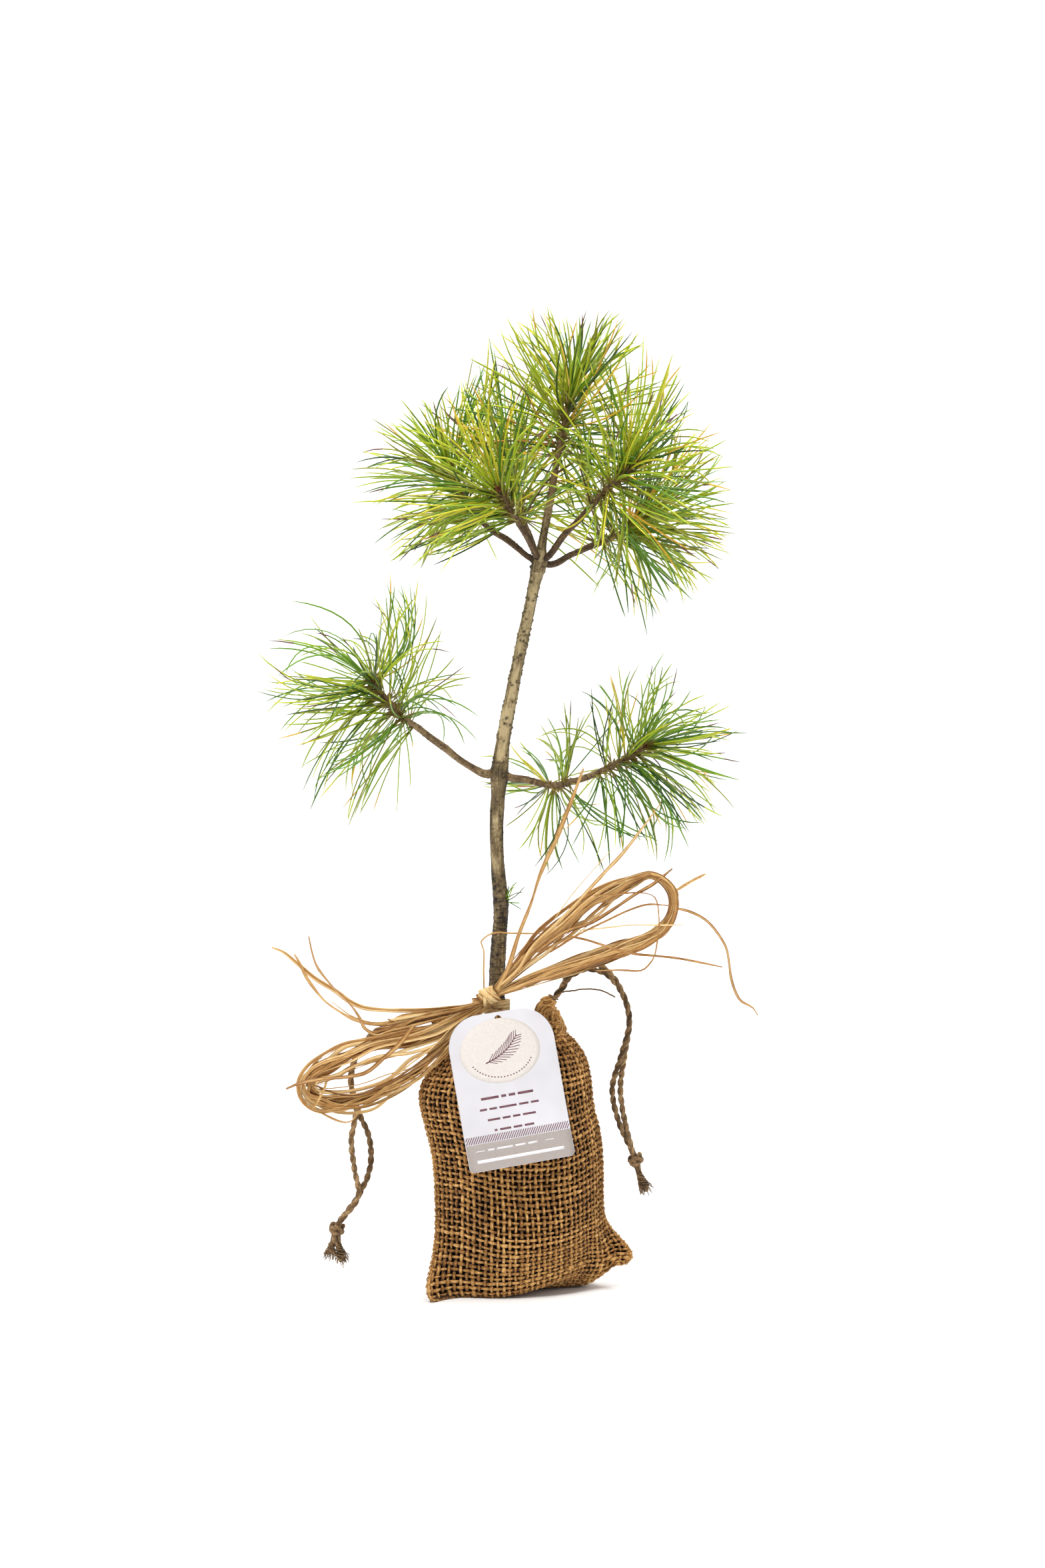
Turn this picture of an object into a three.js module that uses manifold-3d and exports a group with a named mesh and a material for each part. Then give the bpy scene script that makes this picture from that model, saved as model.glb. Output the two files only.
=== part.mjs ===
// A young white pine sapling standing on its burlap-wrapped root ball.
// Millimetres, +Z up. The origin is the middle of the flat underside of the root ball.
// +X runs to the right across the broad face of the bag, -Y is the side the hang tag faces.
//
// The tree is one tapering trunk with a low pair of boughs and a whorl of five boughs near the top,
// each ending in a tuft of needles that is one uneven closed mass. The bag's mouth is gathered round
// the foot of the trunk by two jute drawstrings, a raffia bow is tied round the trunk, and a card tag
// hangs from the bow in front of the bag.
import * as THREE from "three";
import { mergeVertices } from "three/addons/utils/BufferGeometryUtils.js";
import Module from "manifold-3d";

const wasm = await Module();
wasm.setup();

// ---------------------------------------------------------------- driving dimensions
const GAP = 0.35; // clearance kept between neighbouring solids
const YAW = THREE.MathUtils.degToRad(17); // turn of the bag's broad face about Z

const BAG = {
  height: 121, // underside to the soil at the mouth
  halfWidth: 41.5,
  halfDepth: 25,
  footWidth: 38, // half sizes of the flat underside
  footDepth: 22,
  mouthWidth: 25, // half sizes of the flat top inside the hem
  mouthDepth: 12,
  shoulder: 0.74, // share of the height where the shoulders start to close
  mouthX: -1.5, // the middle of the mouth, along the broad face and behind it
  mouthY: 2.6,
  footX: 1.8, // the body stands a little right of the origin, sways left at the shoulders and comes back
  sway: 6.3,
  swayZ: 92,
  squareness: 2.5,
  leftEar: 10, // sewn bottom corners standing out past the body
  leftEarZ: 2,
  rightEar: 7.5,
  rightEarZ: 5,
  earForward: 20, // the bottom seam lies along the front, so the corners are drawn forward to it
  lift: 11.5, // how far the right end of the bottom seam curls up off the ground
  liftFrom: -22, // where along the broad face it starts, and over what length it rises
  liftSpan: 66,
  standing: 0.62, // share of the underside that always rests on the ground
  sides: 32,
  rings: 11,
};

const TRUNK = {
  foot: BAG.height + GAP,
  // height above the origin, sideways place, radius
  stations: [
    [121.35, -9.8, 5.4],
    [133, -9.7, 4.3],
    [154, -9.4, 4.05],
    [176, -7.6, 4.0],
    [203, -9.8, 3.5],
    [226, -10.2, 3.3],
    [244, -8.7, 4.1],
    [252, -7.6, 3.35],
    [270, -5.9, 3.15],
    [298, -0.9, 2.9],
    [323, 4.4, 2.7],
    [338, 8.6, 2.9],
    [346, 10.8, 2.6],
    [352, 11.6, 1.95],
    [388, 18.7, 1.55],
    [407, 23.0, 1.4],
    [423, 26.0, 1.2],
  ],
  sides: 9,
  rings: 28,
};

const LOW_NODE = new THREE.Vector3(-8.7, 0, 244);
const TOP_NODE = new THREE.Vector3(10.6, 0, 343.5);

// Boughs: where they leave the trunk, the bud they end at, how far the middle sags, and the two radii.
const BOUGHS = {
  bough_low_left: { from: LOW_NODE, bud: [-68, -6, 287], bend: [3, 0, -7], r: [2.1, 1.35] },
  bough_low_right: { from: LOW_NODE, bud: [60.5, 8, 256.5], bend: [0, 0, -17], r: [2.1, 1.3] },
  bough_top_left_outer: { from: TOP_NODE, bud: [-31.8, 7, 387], bend: [-2, 0, -5], r: [1.6, 1.15] },
  bough_top_left_inner: { from: TOP_NODE, bud: [-8.4, -30, 375], bend: [-2, -3, -2], r: [1.5, 1.15] },
  bough_top_right_inner: { from: TOP_NODE, bud: [53.4, -24, 387.5], bend: [0, 0, -5], r: [1.75, 1.3] },
  bough_top_right_outer: { from: TOP_NODE, bud: [57, 22, 364], bend: [0, 0, -5], r: [1.75, 1.3] },
  bough_top_back: { from: TOP_NODE, bud: [-2, 43, 384], bend: [0, 4, -5], r: [1.6, 1.15] },
};

// Needle tufts: the bud, the way the shoot points, reach ahead, to the side and back, and the furthest tips.
const TUFTS = {
  foliage_top_leader: {
    bud: [26, 0, 423], along: [0.2, 0, 1], setBack: 17, ahead: 44, side: 44, back: 26, lobes: 5, turn: 0.3,
    tips: [[11, -6, 462.4], [44, 8, 460], [-24, -14, 440], [80, 4, 422], [20, -52, 428], [30, 50, 430], [-22, 28, 432]],
  },
  foliage_top_left_outer: {
    bud: [-31.8, 7, 387], along: [-0.62, 0.1, 0.78], setBack: 15, ahead: 38, side: 36, back: 24, lobes: 5, turn: 1.1,
    tips: [[-78, 10, 388], [-66, -4, 409], [-44, 12, 424], [-59, 6, 345], [-76, -4, 371]],
  },
  foliage_top_left_inner: {
    bud: [-8.4, -30, 375], along: [-0.35, -0.6, 0.72], setBack: 14, ahead: 38, side: 36, back: 22, lobes: 5, turn: 2.0,
    tips: [[-20, -77, 385], [-34, -52, 396], [0, -52, 412], [10, -70, 372], [-42, -38, 352]],
  },
  foliage_top_right_inner: {
    bud: [53.4, -24, 387.5], along: [0.55, -0.4, 0.72], setBack: 15, ahead: 38, side: 36, back: 22, lobes: 5, turn: 0.6,
    tips: [[72, -34, 428], [98, -30, 396], [60, -72, 392], [96, -40, 372], [46, -40, 425]],
  },
  foliage_top_right_outer: {
    bud: [57, 22, 364], along: [0.85, 0.35, 0.32], setBack: 15, ahead: 38, side: 35, back: 22, lobes: 5, turn: 1.7,
    tips: [[101, 20, 368], [60, 8, 311], [92, 34, 338], [74, 58, 372], [97, 8, 347]],
  },
  foliage_top_back: {
    bud: [-2, 43, 384], along: [-0.12, 0.72, 0.68], setBack: 14, ahead: 38, side: 36, back: 22, lobes: 5, turn: 2.6,
    tips: [[-14, 88, 390], [8, 70, 424], [30, 80, 384], [-40, 62, 372], [0, 78, 348]],
  },
  foliage_low_left: {
    bud: [-68, -6, 287], along: [-0.78, -0.05, 0.62], setBack: 14, ahead: 38, side: 36, back: 18, lobes: 4, turn: 0.9,
    tips: [[-119, -10, 284], [-103, 4, 325], [-58, -6, 337], [-24, -10, 292], [-81, -16, 220], [-104, -30, 248], [-62, -50, 290], [-72, 40, 282], [-17, 4, 264]],
  },
  foliage_low_right: {
    bud: [60.5, 8, 256.5], along: [0.88, 0.1, 0.42], setBack: 14, ahead: 34, side: 34, back: 16, lobes: 4, turn: 2.3,
    tips: [[105.5, 8, 262], [68, 14, 302], [30, 6, 282], [66, 12, 202], [100, 24, 238], [60, 54, 252], [64, -38, 250]],
  },
};

const INNER_TUFTS = {
  foliage_low_right_inner: {
    bud: [19, 4, 236], along: [0.15, 0.05, -1], setBack: 0, ahead: 18, side: 15, back: 12, lobes: 4, turn: 0.2,
    tips: [[14, 2, 196], [26, 8, 276], [-4, -12, 218], [30, -26, 232], [20, 36, 230], [38, 12, 206]],
  },
};

// Raffia bow: knot in front of the trunk, a wrap round it, two loops of two runs each, and free tails.
const RAFFIA = {
  knot: [-12.5, -10.6, 140],
  knotHalf: [5.6, 4.0, 5.6],
  wrapZ: 134.5,
  wrapInner: 4.85,
  wrapOuter: 7.3,
  wrapHalfHeight: 2.9,
  // each run: centreline, half width in the middle, half thickness
  runs: {
    raffia_loop_right_upper: { line: [[-10, -11, 142], [27, -13, 170], [51, -15, 191], [67, -17, 197.5], [73.5, -18, 190]], half: [5.6, 1.6] },
    raffia_loop_right_lower: { line: [[-9, -11, 140], [20, -13, 149], [44, -15, 159], [66, -17, 172], [73, -18, 186.5]], half: [4.2, 1.6] },
    raffia_loop_left_upper: { line: [[-15, -11, 139.5], [-42, -14, 129], [-68, -17, 116], [-90, -19, 106], [-100, -20, 97]], half: [4.6, 1.6] },
    raffia_loop_left_lower: { line: [[-15, -11, 137.5], [-40, -13, 111], [-62, -16, 95], [-84, -19, 87], [-99.5, -20, 94]], half: [3.6, 1.6] },
    raffia_tail_left_long: { line: [[-16, -11.5, 140.5], [-50, -12, 137.5], [-75, -12, 136], [-95, -12, 149], [-113.6, -12, 163]], half: [1.3, 0.6] },
    raffia_tail_left_short: { line: [[-30, -17, 137], [-58, -18, 131], [-78, -18, 137], [-93, -18, 152], [-96.4, -18, 168]], half: [1.3, 0.6] },
    raffia_tail_left_low: { line: [[-47, -23, 127], [-62, -24, 112], [-78, -24.5, 104], [-106.7, -25, 98.5]], half: [1.6, 0.6] },
    raffia_tail_up: { line: [[-9.5, -14.5, 145.5], [4, -17, 179], [15, -18, 210], [28.7, -18, 242]], half: [1.5, 0.6] },
    raffia_tail_up_right: { line: [[0, -19, 152], [31, -22, 184], [50, -23, 207], [65.5, -23, 231]], half: [1.6, 0.6] },
    raffia_tail_curl: { line: [[78, -18, 183], [89, -18, 173], [97, -17, 160], [101, -16, 143], [112.5, -16, 132.5]], half: [1.0, 0.6] },
    raffia_tail_flat: { line: [[46, -19.5, 156], [70, -21, 159], [94.5, -22, 157]], half: [1.0, 0.6] },
  },
};

// Jute drawstrings: each side has two strands that leave the gathered end of the hem and share a knot.
const TWINE = {
  radius: 1.1,
  sides: 8,
  step: 6.4, // about three diameters between sections
  apart: 1.35, // half the distance between the two strands of a side
  right: [
    [21.5, 8, 141.5], [25.5, 8, 148.5], [34, 8, 152.2], [43, 8, 148.5], [50, 8, 139], [53.3, 8, 126],
    [50.4, 8, 110], [47.2, 8, 94], [49.8, 8, 78], [54.6, 8, 64.5],
  ],
  left: [
    [-40.5, -6, 129], [-52, -5, 128], [-64, -3, 123.5], [-73.5, -1, 114], [-78, 0, 100], [-75.2, 0, 85],
    [-73.6, 0, 71], [-72.8, 0, 57], [-74.6, 0, 44], [-82.2, 0, 33.4],
  ],
  openRight: 2.0, // how far the two strands part below their crossing, and between which shares of the route
  openLeft: 4.6,
  lobeRight: [0.62, 0.98],
  lobeLeft: [0.55, 0.87],
};

const TAG = {
  width: 51.5,
  height: 71.5,
  thickness: 0.5,
  topRadius: 15.5,
  bottomRadius: 2.2,
  hole: 1.5,
  holeDrop: 3.3, // hole centre below the top edge
  place: [-8.6, -18.6, 130], // hole centre
  roll: THREE.MathUtils.degToRad(7), // the foot swings to the right
  lean: THREE.MathUtils.degToRad(11.2), // the foot stands forward over the belly of the bag
  face: YAW, // turned with the bag
};

const COLOURS = {
  burlap: { color: "#a57c45", roughness: 0.95 },
  bark: { color: "#6f5f45", roughness: 0.85 },
  twig: { color: "#5c4633", roughness: 0.85 },
  needles: { color: "#7f9c22", roughness: 0.6 },
  raffia: { color: "#d3a765", roughness: 0.7 },
  jute: { color: "#8b6b47", roughness: 0.95 },
  card: { color: "#efebee", roughness: 0.6 },
};

// ---------------------------------------------------------------- helpers
const V = (a) => new THREE.Vector3(a[0], a[1], a[2]);
const curveOf = (points) => new THREE.CatmullRomCurve3(points.map((p) => (p.isVector3 ? p : V(p))), false, "centripetal");
const smooth = (t) => t * t * (3 - 2 * t);

function toManifold(geometry) {
  const bare = new THREE.BufferGeometry();
  const flat = geometry.index ? geometry.toNonIndexed() : geometry;
  bare.setAttribute("position", flat.getAttribute("position").clone());
  const merged = mergeVertices(bare, 1e-3);
  // faces that the merging has closed up to a line are left out
  const used = [];
  const ix = merged.index.array;
  for (let i = 0; i < ix.length; i += 3)
    if (ix[i] !== ix[i + 1] && ix[i + 1] !== ix[i + 2] && ix[i] !== ix[i + 2]) used.push(ix[i], ix[i + 1], ix[i + 2]);
  const make = (tris) =>
    new wasm.Manifold(new wasm.Mesh({ numProp: 3, vertProperties: merged.attributes.position.array, triVerts: new Uint32Array(tris) }));
  let solid = make(used);
  if (solid.volume() < 0) {
    for (let i = 0; i < used.length; i += 3) [used[i + 1], used[i + 2]] = [used[i + 2], used[i + 1]];
    solid = make(used);
  }
  return solid;
}

function toGeometry(solid) {
  const mesh = solid.getMesh();
  const g = new THREE.BufferGeometry();
  const n = mesh.numProp;
  const verts = new Float32Array((mesh.vertProperties.length / n) * 3);
  for (let i = 0; i < verts.length / 3; i++) for (let k = 0; k < 3; k++) verts[3 * i + k] = mesh.vertProperties[n * i + k];
  g.setAttribute("position", new THREE.BufferAttribute(verts, 3));
  g.setIndex(new THREE.BufferAttribute(new Uint32Array(mesh.triVerts), 1));
  g.computeVertexNormals();
  return g;
}

const largest = (solid) => solid.decompose().reduce((a, b) => (b.volume() > a.volume() ? b : a));

// A closed tube whose section changes along a curve. half(t) gives the half sizes of the section
// across the curve in the upright plane and through it; grow widens it all round.
function sweep(curve, steps, sides, half, grow = 0, reference = new THREE.Vector3(0, 1, 0)) {
  const g = new THREE.CylinderGeometry(1, 1, 1, sides, steps);
  const p = g.getAttribute("position");
  const length = curve.getLength();
  for (let i = 0; i < p.count; i++) {
    const t = THREE.MathUtils.clamp(p.getY(i) + 0.5, 0, 1);
    const at = curve.getPointAt(t);
    const along = curve.getTangentAt(t);
    const across = new THREE.Vector3().crossVectors(along, reference).normalize();
    const through = new THREE.Vector3().crossVectors(across, along).normalize();
    const [a, b] = half(t);
    at.addScaledVector(across, p.getX(i) * (a + grow)).addScaledVector(through, p.getZ(i) * (b + grow));
    if (grow && (t === 0 || t === 1)) at.addScaledVector(along, t === 0 ? -grow : grow);
    p.setXYZ(i, at.x, at.y, at.z);
  }
  return toManifold(g);
}

// ---------------------------------------------------------------- root ball and hem
function bagHalf(h) {
  // half width and half depth of the bag at a share h of its height
  const rise = Math.min(1, h / 0.09);
  const foot = Math.sqrt(Math.max(0, 1 - (1 - rise) ** 2));
  const shoulder = h < BAG.shoulder ? 0 : (h - BAG.shoulder) / (1 - BAG.shoulder);
  const close = 1 - Math.max(0, Math.cos((shoulder * Math.PI) / 2)) ** 0.9;
  const waist = 1 - 0.02 * Math.sin(Math.PI * Math.min(1, h / 0.6));
  return [
    THREE.MathUtils.lerp(THREE.MathUtils.lerp(BAG.footWidth, BAG.halfWidth, foot) * waist, BAG.mouthWidth, close),
    THREE.MathUtils.lerp(THREE.MathUtils.lerp(BAG.footDepth, BAG.halfDepth, foot), BAG.mouthDepth, smooth(Math.min(1, shoulder))),
  ];
}

// how far the middle of the bag stands along its broad face at a height
const bagSway = (z) =>
  BAG.footX - BAG.sway * Math.exp(-(((z - BAG.swayZ) / 20) ** 2)) + (BAG.mouthX - BAG.footX + 0.8) * smooth(THREE.MathUtils.clamp((z - 105) / 16, 0, 1));

function rootBall(grow = 0) {
  const g = new THREE.CylinderGeometry(1, 1, 1, BAG.sides, BAG.rings);
  const p = g.getAttribute("position");
  for (let i = 0; i < p.count; i++) {
    // the lowest ring lies inside the underside, the next is its edge, and the rest crowd towards the foot
    const even = THREE.MathUtils.clamp(p.getY(i) + 0.5, 0, 1);
    const inner = even < 0.5 / BAG.rings;
    const up = THREE.MathUtils.clamp((even - 1 / BAG.rings) / (1 - 1 / BAG.rings), 0, 1);
    const h = up < 0.3 ? (up / 0.3) ** 1.5 * 0.14 : 0.14 + ((up - 0.3) / 0.7) * 0.86;
    const z = h * BAG.height;
    const flat = Math.hypot(p.getX(i), p.getZ(i));
    const c = flat > 1e-6 ? p.getX(i) / flat : 0;
    const s = flat > 1e-6 ? p.getZ(i) / flat : 0;
    const [w, d] = bagHalf(h);
    const power = 2 / BAG.squareness;
    const share = inner ? BAG.standing : 1;
    let x = Math.sign(c) * Math.abs(c) ** power * (w + grow) * flat * share;
    let y = Math.sign(s) * Math.abs(s) ** power * (d + grow) * flat * share;
    if (!inner) {
      // the sewn corners stand out along the seam, and are drawn forward
      const out = Math.abs(c) ** 7 * flat;
      const left = c < 0 ? Math.exp(-(((z - BAG.leftEarZ) / 14) ** 2)) : 0;
      const right = c > 0 ? Math.exp(-(((z - BAG.rightEarZ) / 15) ** 2)) : 0;
      x += (right * BAG.rightEar - left * BAG.leftEar) * out;
      y = y * (1 - 0.35 * Math.abs(c) ** 3 * (left + right)) - BAG.earForward * (left + right) * out;
      const front = smooth(THREE.MathUtils.clamp((-y - 4) / 16, 0, 1));
      const end = smooth(THREE.MathUtils.clamp((x - 28) / 16, 0, 1));
      const rise = BAG.lift * smooth(THREE.MathUtils.clamp((x - BAG.liftFrom) / BAG.liftSpan, 0, 1));
      p.setY(i, rise * Math.max(front, end) * Math.max(0, 1 - h / 0.3) * flat);
    } else p.setY(i, 0);
    x += bagSway(z);
    y += BAG.mouthY * smooth(h);
    p.setXYZ(i, x * Math.cos(YAW) - y * Math.sin(YAW), x * Math.sin(YAW) + y * Math.cos(YAW), z + p.getY(i) + (grow ? (h >= 1 ? grow : h <= 0 ? -grow : 0) : 0));
  }
  return toManifold(g);
}

// The mouth: a puckered ring of burlap round the foot of the trunk, drawn out to a point at each end.
function hem(grow = 0) {
  const profile = [];
  const bottom = BAG.height + GAP, height = 6;
  const section = [[0.62, 0], [1.04, 0], [1.1, 0.32], [1.0, 0.62], [1.02, 1], [0.74, 1.0], [0.66, 0.55]];
  for (const [r, h] of section) profile.push(new THREE.Vector2(r, h * height));
  profile.push(profile[0].clone());
  const g = new THREE.LatheGeometry(profile, 18);
  const p = g.getAttribute("position");
  for (let i = 0; i < p.count; i++) {
    const a = Math.atan2(p.getZ(i), p.getX(i));
    const r = Math.hypot(p.getX(i), p.getZ(i));
    const h = p.getY(i) / height;
    const pleat = 1 + 0.05 * Math.cos(9 * a) * h;
    const end = Math.abs(Math.cos(a)) ** 6;
    const wall = r > 0.85 ? grow : -grow;
    const x = BAG.mouthX + Math.cos(a) * (r * BAG.mouthWidth * pleat + wall) + Math.sign(Math.cos(a)) * end * 3 * h;
    const y = BAG.mouthY + Math.sin(a) * (r * (BAG.mouthDepth + 1) * pleat + wall);
    const z = bottom + p.getY(i) + 1.5 * end * h + (h > 0.8 ? grow : h < 0.2 ? -grow : 0);
    p.setXYZ(i, x * Math.cos(YAW) - y * Math.sin(YAW), x * Math.sin(YAW) + y * Math.cos(YAW), z);
  }
  const ring = toManifold(g);
  // the gathered ends of the drawstring tunnel
  const right = sweep(curveOf([[10, 5, 127], [15.5, 7, 131], [20.8, 8, 139.6]]), 5, 8, (t) => {
    const r = 3.2 + 2.6 * Math.sin(Math.PI * Math.min(1, 0.15 + 0.75 * t));
    return [r, r * 0.85];
  }, grow);
  const left = sweep(curveOf([[-24, -7.5, 126.5], [-31, -7.5, 128.5], [-38.8, -6.2, 129]]), 5, 8, (t) => {
    const r = 3.0 + 2.3 * Math.sin(Math.PI * Math.min(1, 0.15 + 0.75 * t));
    return [r * 0.9, r * 0.85];
  }, grow);
  return ring.add(right).add(left);
}

// ---------------------------------------------------------------- trunk and boughs
function trunk(grow = 0) {
  const line = curveOf(TRUNK.stations.map(([z, x]) => [x, 0, z]));
  const radius = (z) => {
    const s = TRUNK.stations;
    let i = 0;
    while (i < s.length - 2 && s[i + 1][0] < z) i++;
    const t = THREE.MathUtils.clamp((z - s[i][0]) / (s[i + 1][0] - s[i][0]), 0, 1);
    return THREE.MathUtils.lerp(s[i][2], s[i + 1][2], smooth(t));
  };
  return sweep(line, TRUNK.rings, TRUNK.sides, (t) => {
    const r = radius(line.getPointAt(t).z);
    return [r, r];
  }, grow);
}

function bough({ from, bud, bend, r }, grow = 0) {
  const a = from, b = V(bud);
  const middle = a.clone().lerp(b, 0.5).add(V(bend));
  const line = new THREE.QuadraticBezierCurve3(a, middle, b);
  const reference = new THREE.Vector3(0, 1, 0.2).normalize();
  return sweep(line, 8, 7, (t) => {
    const collar = 1 + 0.5 * Math.exp(-t * 14);
    const radius = THREE.MathUtils.lerp(r[0], r[1], t) * collar;
    return [radius, radius];
  }, grow, reference);
}

// ---------------------------------------------------------------- needle masses
function tuft({ bud, along, setBack, ahead, side, back, lobes, turn, tips }, grow = 0) {
  const axis = V(along).normalize();
  const middle = V(bud).addScaledVector(axis, -setBack);
  const spin = new THREE.Quaternion().setFromUnitVectors(new THREE.Vector3(0, 1, 0), axis);
  const g = new THREE.SphereGeometry(1, 16, 9);
  const p = g.getAttribute("position");
  const reach = tips.map((t) => V(t).sub(middle));
  const directions = [];
  for (let i = 0; i < p.count; i++) directions.push(new THREE.Vector3(p.getX(i), p.getY(i), p.getZ(i)).normalize());
  // the corner of the mesh that is nearest to each furthest tip is placed on it
  const world = directions.map((d) => d.clone().applyQuaternion(spin));
  const nearest = reach.map((t) => {
    const unit = t.clone().normalize();
    let best = 0;
    world.forEach((d, i) => { if (d.dot(unit) > world[best].dot(unit)) best = i; });
    return world[best];
  });
  for (let i = 0; i < p.count; i++) {
    const d = directions[i];
    const round = Math.atan2(d.z, d.x);
    const level = Math.acos(THREE.MathUtils.clamp(d.y, -1, 1));
    const base = d.y >= 0
      ? THREE.MathUtils.lerp(side, ahead, d.y ** 1.3)
      : THREE.MathUtils.lerp(side, back, (-d.y) ** 0.7);
    const ridge = 0.5 + 0.5 * Math.sin(lobes * round + turn * 6 + 2.4 * level);
    const cross = 0.5 + 0.5 * Math.sin(4.2 * level + turn * 3 + 2 * Math.sin(level) * Math.sin(round + turn));
    let r = base * (0.64 + 0.2 * ridge * Math.sin(level) + 0.1 * cross);
    const w = world[i];
    let snapped = null;
    reach.forEach((t, k) => {
      const far = t.length();
      const cosine = w.dot(t) / far;
      if (cosine > 0) r += Math.max(0, far * 0.96 - r) * cosine ** 13;
      if (w.distanceTo(nearest[k]) < 1e-4) snapped = t;
    });
    const at = snapped ? snapped.clone() : w.clone().multiplyScalar(r);
    at.setLength(at.length() + grow);
    at.add(middle);
    p.setXYZ(i, at.x, at.y, at.z);
  }
  return toManifold(g);
}

// ---------------------------------------------------------------- raffia, drawstrings, tag
function knot(grow = 0) {
  const g = new THREE.SphereGeometry(1, 10, 7);
  const p = g.getAttribute("position");
  for (let i = 0; i < p.count; i++) {
    const lump = 1 + 0.08 * Math.sin(5 * p.getX(i) + 3 * p.getY(i)) * Math.cos(4 * p.getZ(i));
    p.setXYZ(i,
      RAFFIA.knot[0] + p.getX(i) * (RAFFIA.knotHalf[0] * lump + grow),
      RAFFIA.knot[1] + p.getZ(i) * (RAFFIA.knotHalf[1] * lump + grow),
      RAFFIA.knot[2] + p.getY(i) * (RAFFIA.knotHalf[2] * lump + grow));
  }
  return toManifold(g);
}

function wrap(grow = 0) {
  const { wrapInner: a, wrapOuter: b, wrapHalfHeight: h } = RAFFIA;
  const profile = [[a, -h * 0.8], [b - 0.6, -h], [b, -h * 0.4], [b - 0.3, 0], [b, h * 0.5], [b - 0.7, h], [a, h * 0.8]]
    .map(([r, z]) => new THREE.Vector2(r > (a + b) / 2 ? r + grow : r - Math.min(grow, 0.3), z + Math.sign(z) * grow));
  profile.push(profile[0].clone());
  const g = new THREE.LatheGeometry(profile, 14);
  g.rotateX(Math.PI / 2);
  g.translate(-9.7, 0, RAFFIA.wrapZ);
  return toManifold(g);
}

function ribbon({ line, half }, grow = 0) {
  const curve = curveOf(line);
  const steps = Math.max(6, Math.round(curve.getLength() / 12));
  return sweep(curve, steps, 6, (t) => {
    const fan = half[0] > 2 ? 0.42 + 0.58 * Math.sin(Math.PI * Math.min(1, 0.12 + 0.8 * t)) ** 0.8 : 1;
    return [half[0] * fan, half[1]];
  }, grow);
}

function strandCurve(side, sign) {
  // the two strands of a side run together, cross once, part below and meet again at the knot
  const line = TWINE[side];
  const open = side === "right" ? TWINE.openRight : TWINE.openLeft;
  const n = line.length - 1;
  return curveOf(line.map(([x, y, z], i) => {
    const t = i / n;
    const [from, to] = side === "right" ? TWINE.lobeRight : TWINE.lobeLeft;
    const part = t > from && t < to ? Math.sin(Math.PI * (t - from) / (to - from)) : 0;
    const lift = side === "right" && t < 0.4 ? 1.6 * Math.sin(Math.PI * t / 0.4) : 0;
    return [x + sign * part * open, y + sign * TWINE.apart, z + sign * lift];
  }));
}

function strand(side, sign) {
  const curve = strandCurve(side, sign);
  const shape = new THREE.Shape();
  for (let i = 0; i < TWINE.sides; i++) {
    const a = (i / TWINE.sides) * Math.PI * 2;
    shape[i ? "lineTo" : "moveTo"](Math.cos(a) * TWINE.radius, Math.sin(a) * TWINE.radius);
  }
  shape.closePath();
  const steps = Math.round(curve.getLength() / TWINE.step);
  return toManifold(new THREE.ExtrudeGeometry(shape, { steps, bevelEnabled: false, extrudePath: curve }));
}

function twineKnot(top, bottom, bulge) {
  // the lump of the knot with the frayed ends fanning out below it
  const line = new THREE.QuadraticBezierCurve3(V(top), V(top).lerp(V(bottom), 0.5).add(new THREE.Vector3(-0.8, 0, 0)), V(bottom));
  return sweep(line, 8, 8, (t) => {
    const lump = bulge * Math.sin(Math.PI * Math.min(1, t / 0.42)) ** 0.6;
    const tail = t > 0.4 ? 1.9 + 2.2 * ((t - 0.4) / 0.6) ** 1.2 : 0;
    const r = Math.max(1.6, t < 0.42 ? lump : 0, tail);
    return [r, r * 0.85];
  });
}

function tag() {
  const { width: w, height: h, topRadius: r, bottomRadius: b, holeDrop: drop } = TAG;
  const s = new THREE.Shape();
  s.moveTo(-w / 2 + b, drop - h);
  s.lineTo(w / 2 - b, drop - h);
  s.absarc(w / 2 - b, drop - h + b, b, -Math.PI / 2, 0, false);
  s.lineTo(w / 2, drop - r);
  s.absarc(w / 2 - r, drop - r, r, 0, Math.PI / 2, false);
  s.lineTo(-w / 2 + r, drop);
  s.absarc(-w / 2 + r, drop - r, r, Math.PI / 2, Math.PI, false);
  s.lineTo(-w / 2, drop - h + b);
  s.absarc(-w / 2 + b, drop - h + b, b, Math.PI, Math.PI * 1.5, false);
  s.holes.push(new THREE.Path().absarc(0, 0, TAG.hole, 0, Math.PI * 2, true));
  const g = new THREE.ExtrudeGeometry(s, { depth: TAG.thickness, steps: 1, bevelEnabled: false, curveSegments: 5 });
  g.translate(0, 0, -TAG.thickness / 2);
  g.rotateZ(TAG.roll);
  g.rotateX(Math.PI / 2 - TAG.lean);
  g.rotateZ(TAG.face);
  g.translate(...TAG.place);
  return toManifold(g);
}

// ---------------------------------------------------------------- assembly
const group = new THREE.Group();
group.name = "sapling";
const made = []; // [grown solid] of everything placed so far, which later pieces are cut back from

function place(name, look, solid, cutBy = []) {
  let cut = solid;
  for (const other of cutBy) cut = cut.subtract(other);
  cut = largest(cut);
  const material = new THREE.MeshStandardMaterial({ color: COLOURS[look].color, roughness: COLOURS[look].roughness, metalness: 0 });
  const mesh = new THREE.Mesh(toGeometry(cut), material);
  mesh.name = name;
  group.add(mesh);
  return cut;
}

place("root_ball", "burlap", rootBall());
const ballGrown = rootBall(GAP);
place("trunk", "bark", trunk());
const trunkGrown = trunk(GAP);
place("bag_hem", "burlap", hem(), [trunkGrown, ballGrown]);
const hemGrown = hem(GAP);

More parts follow.
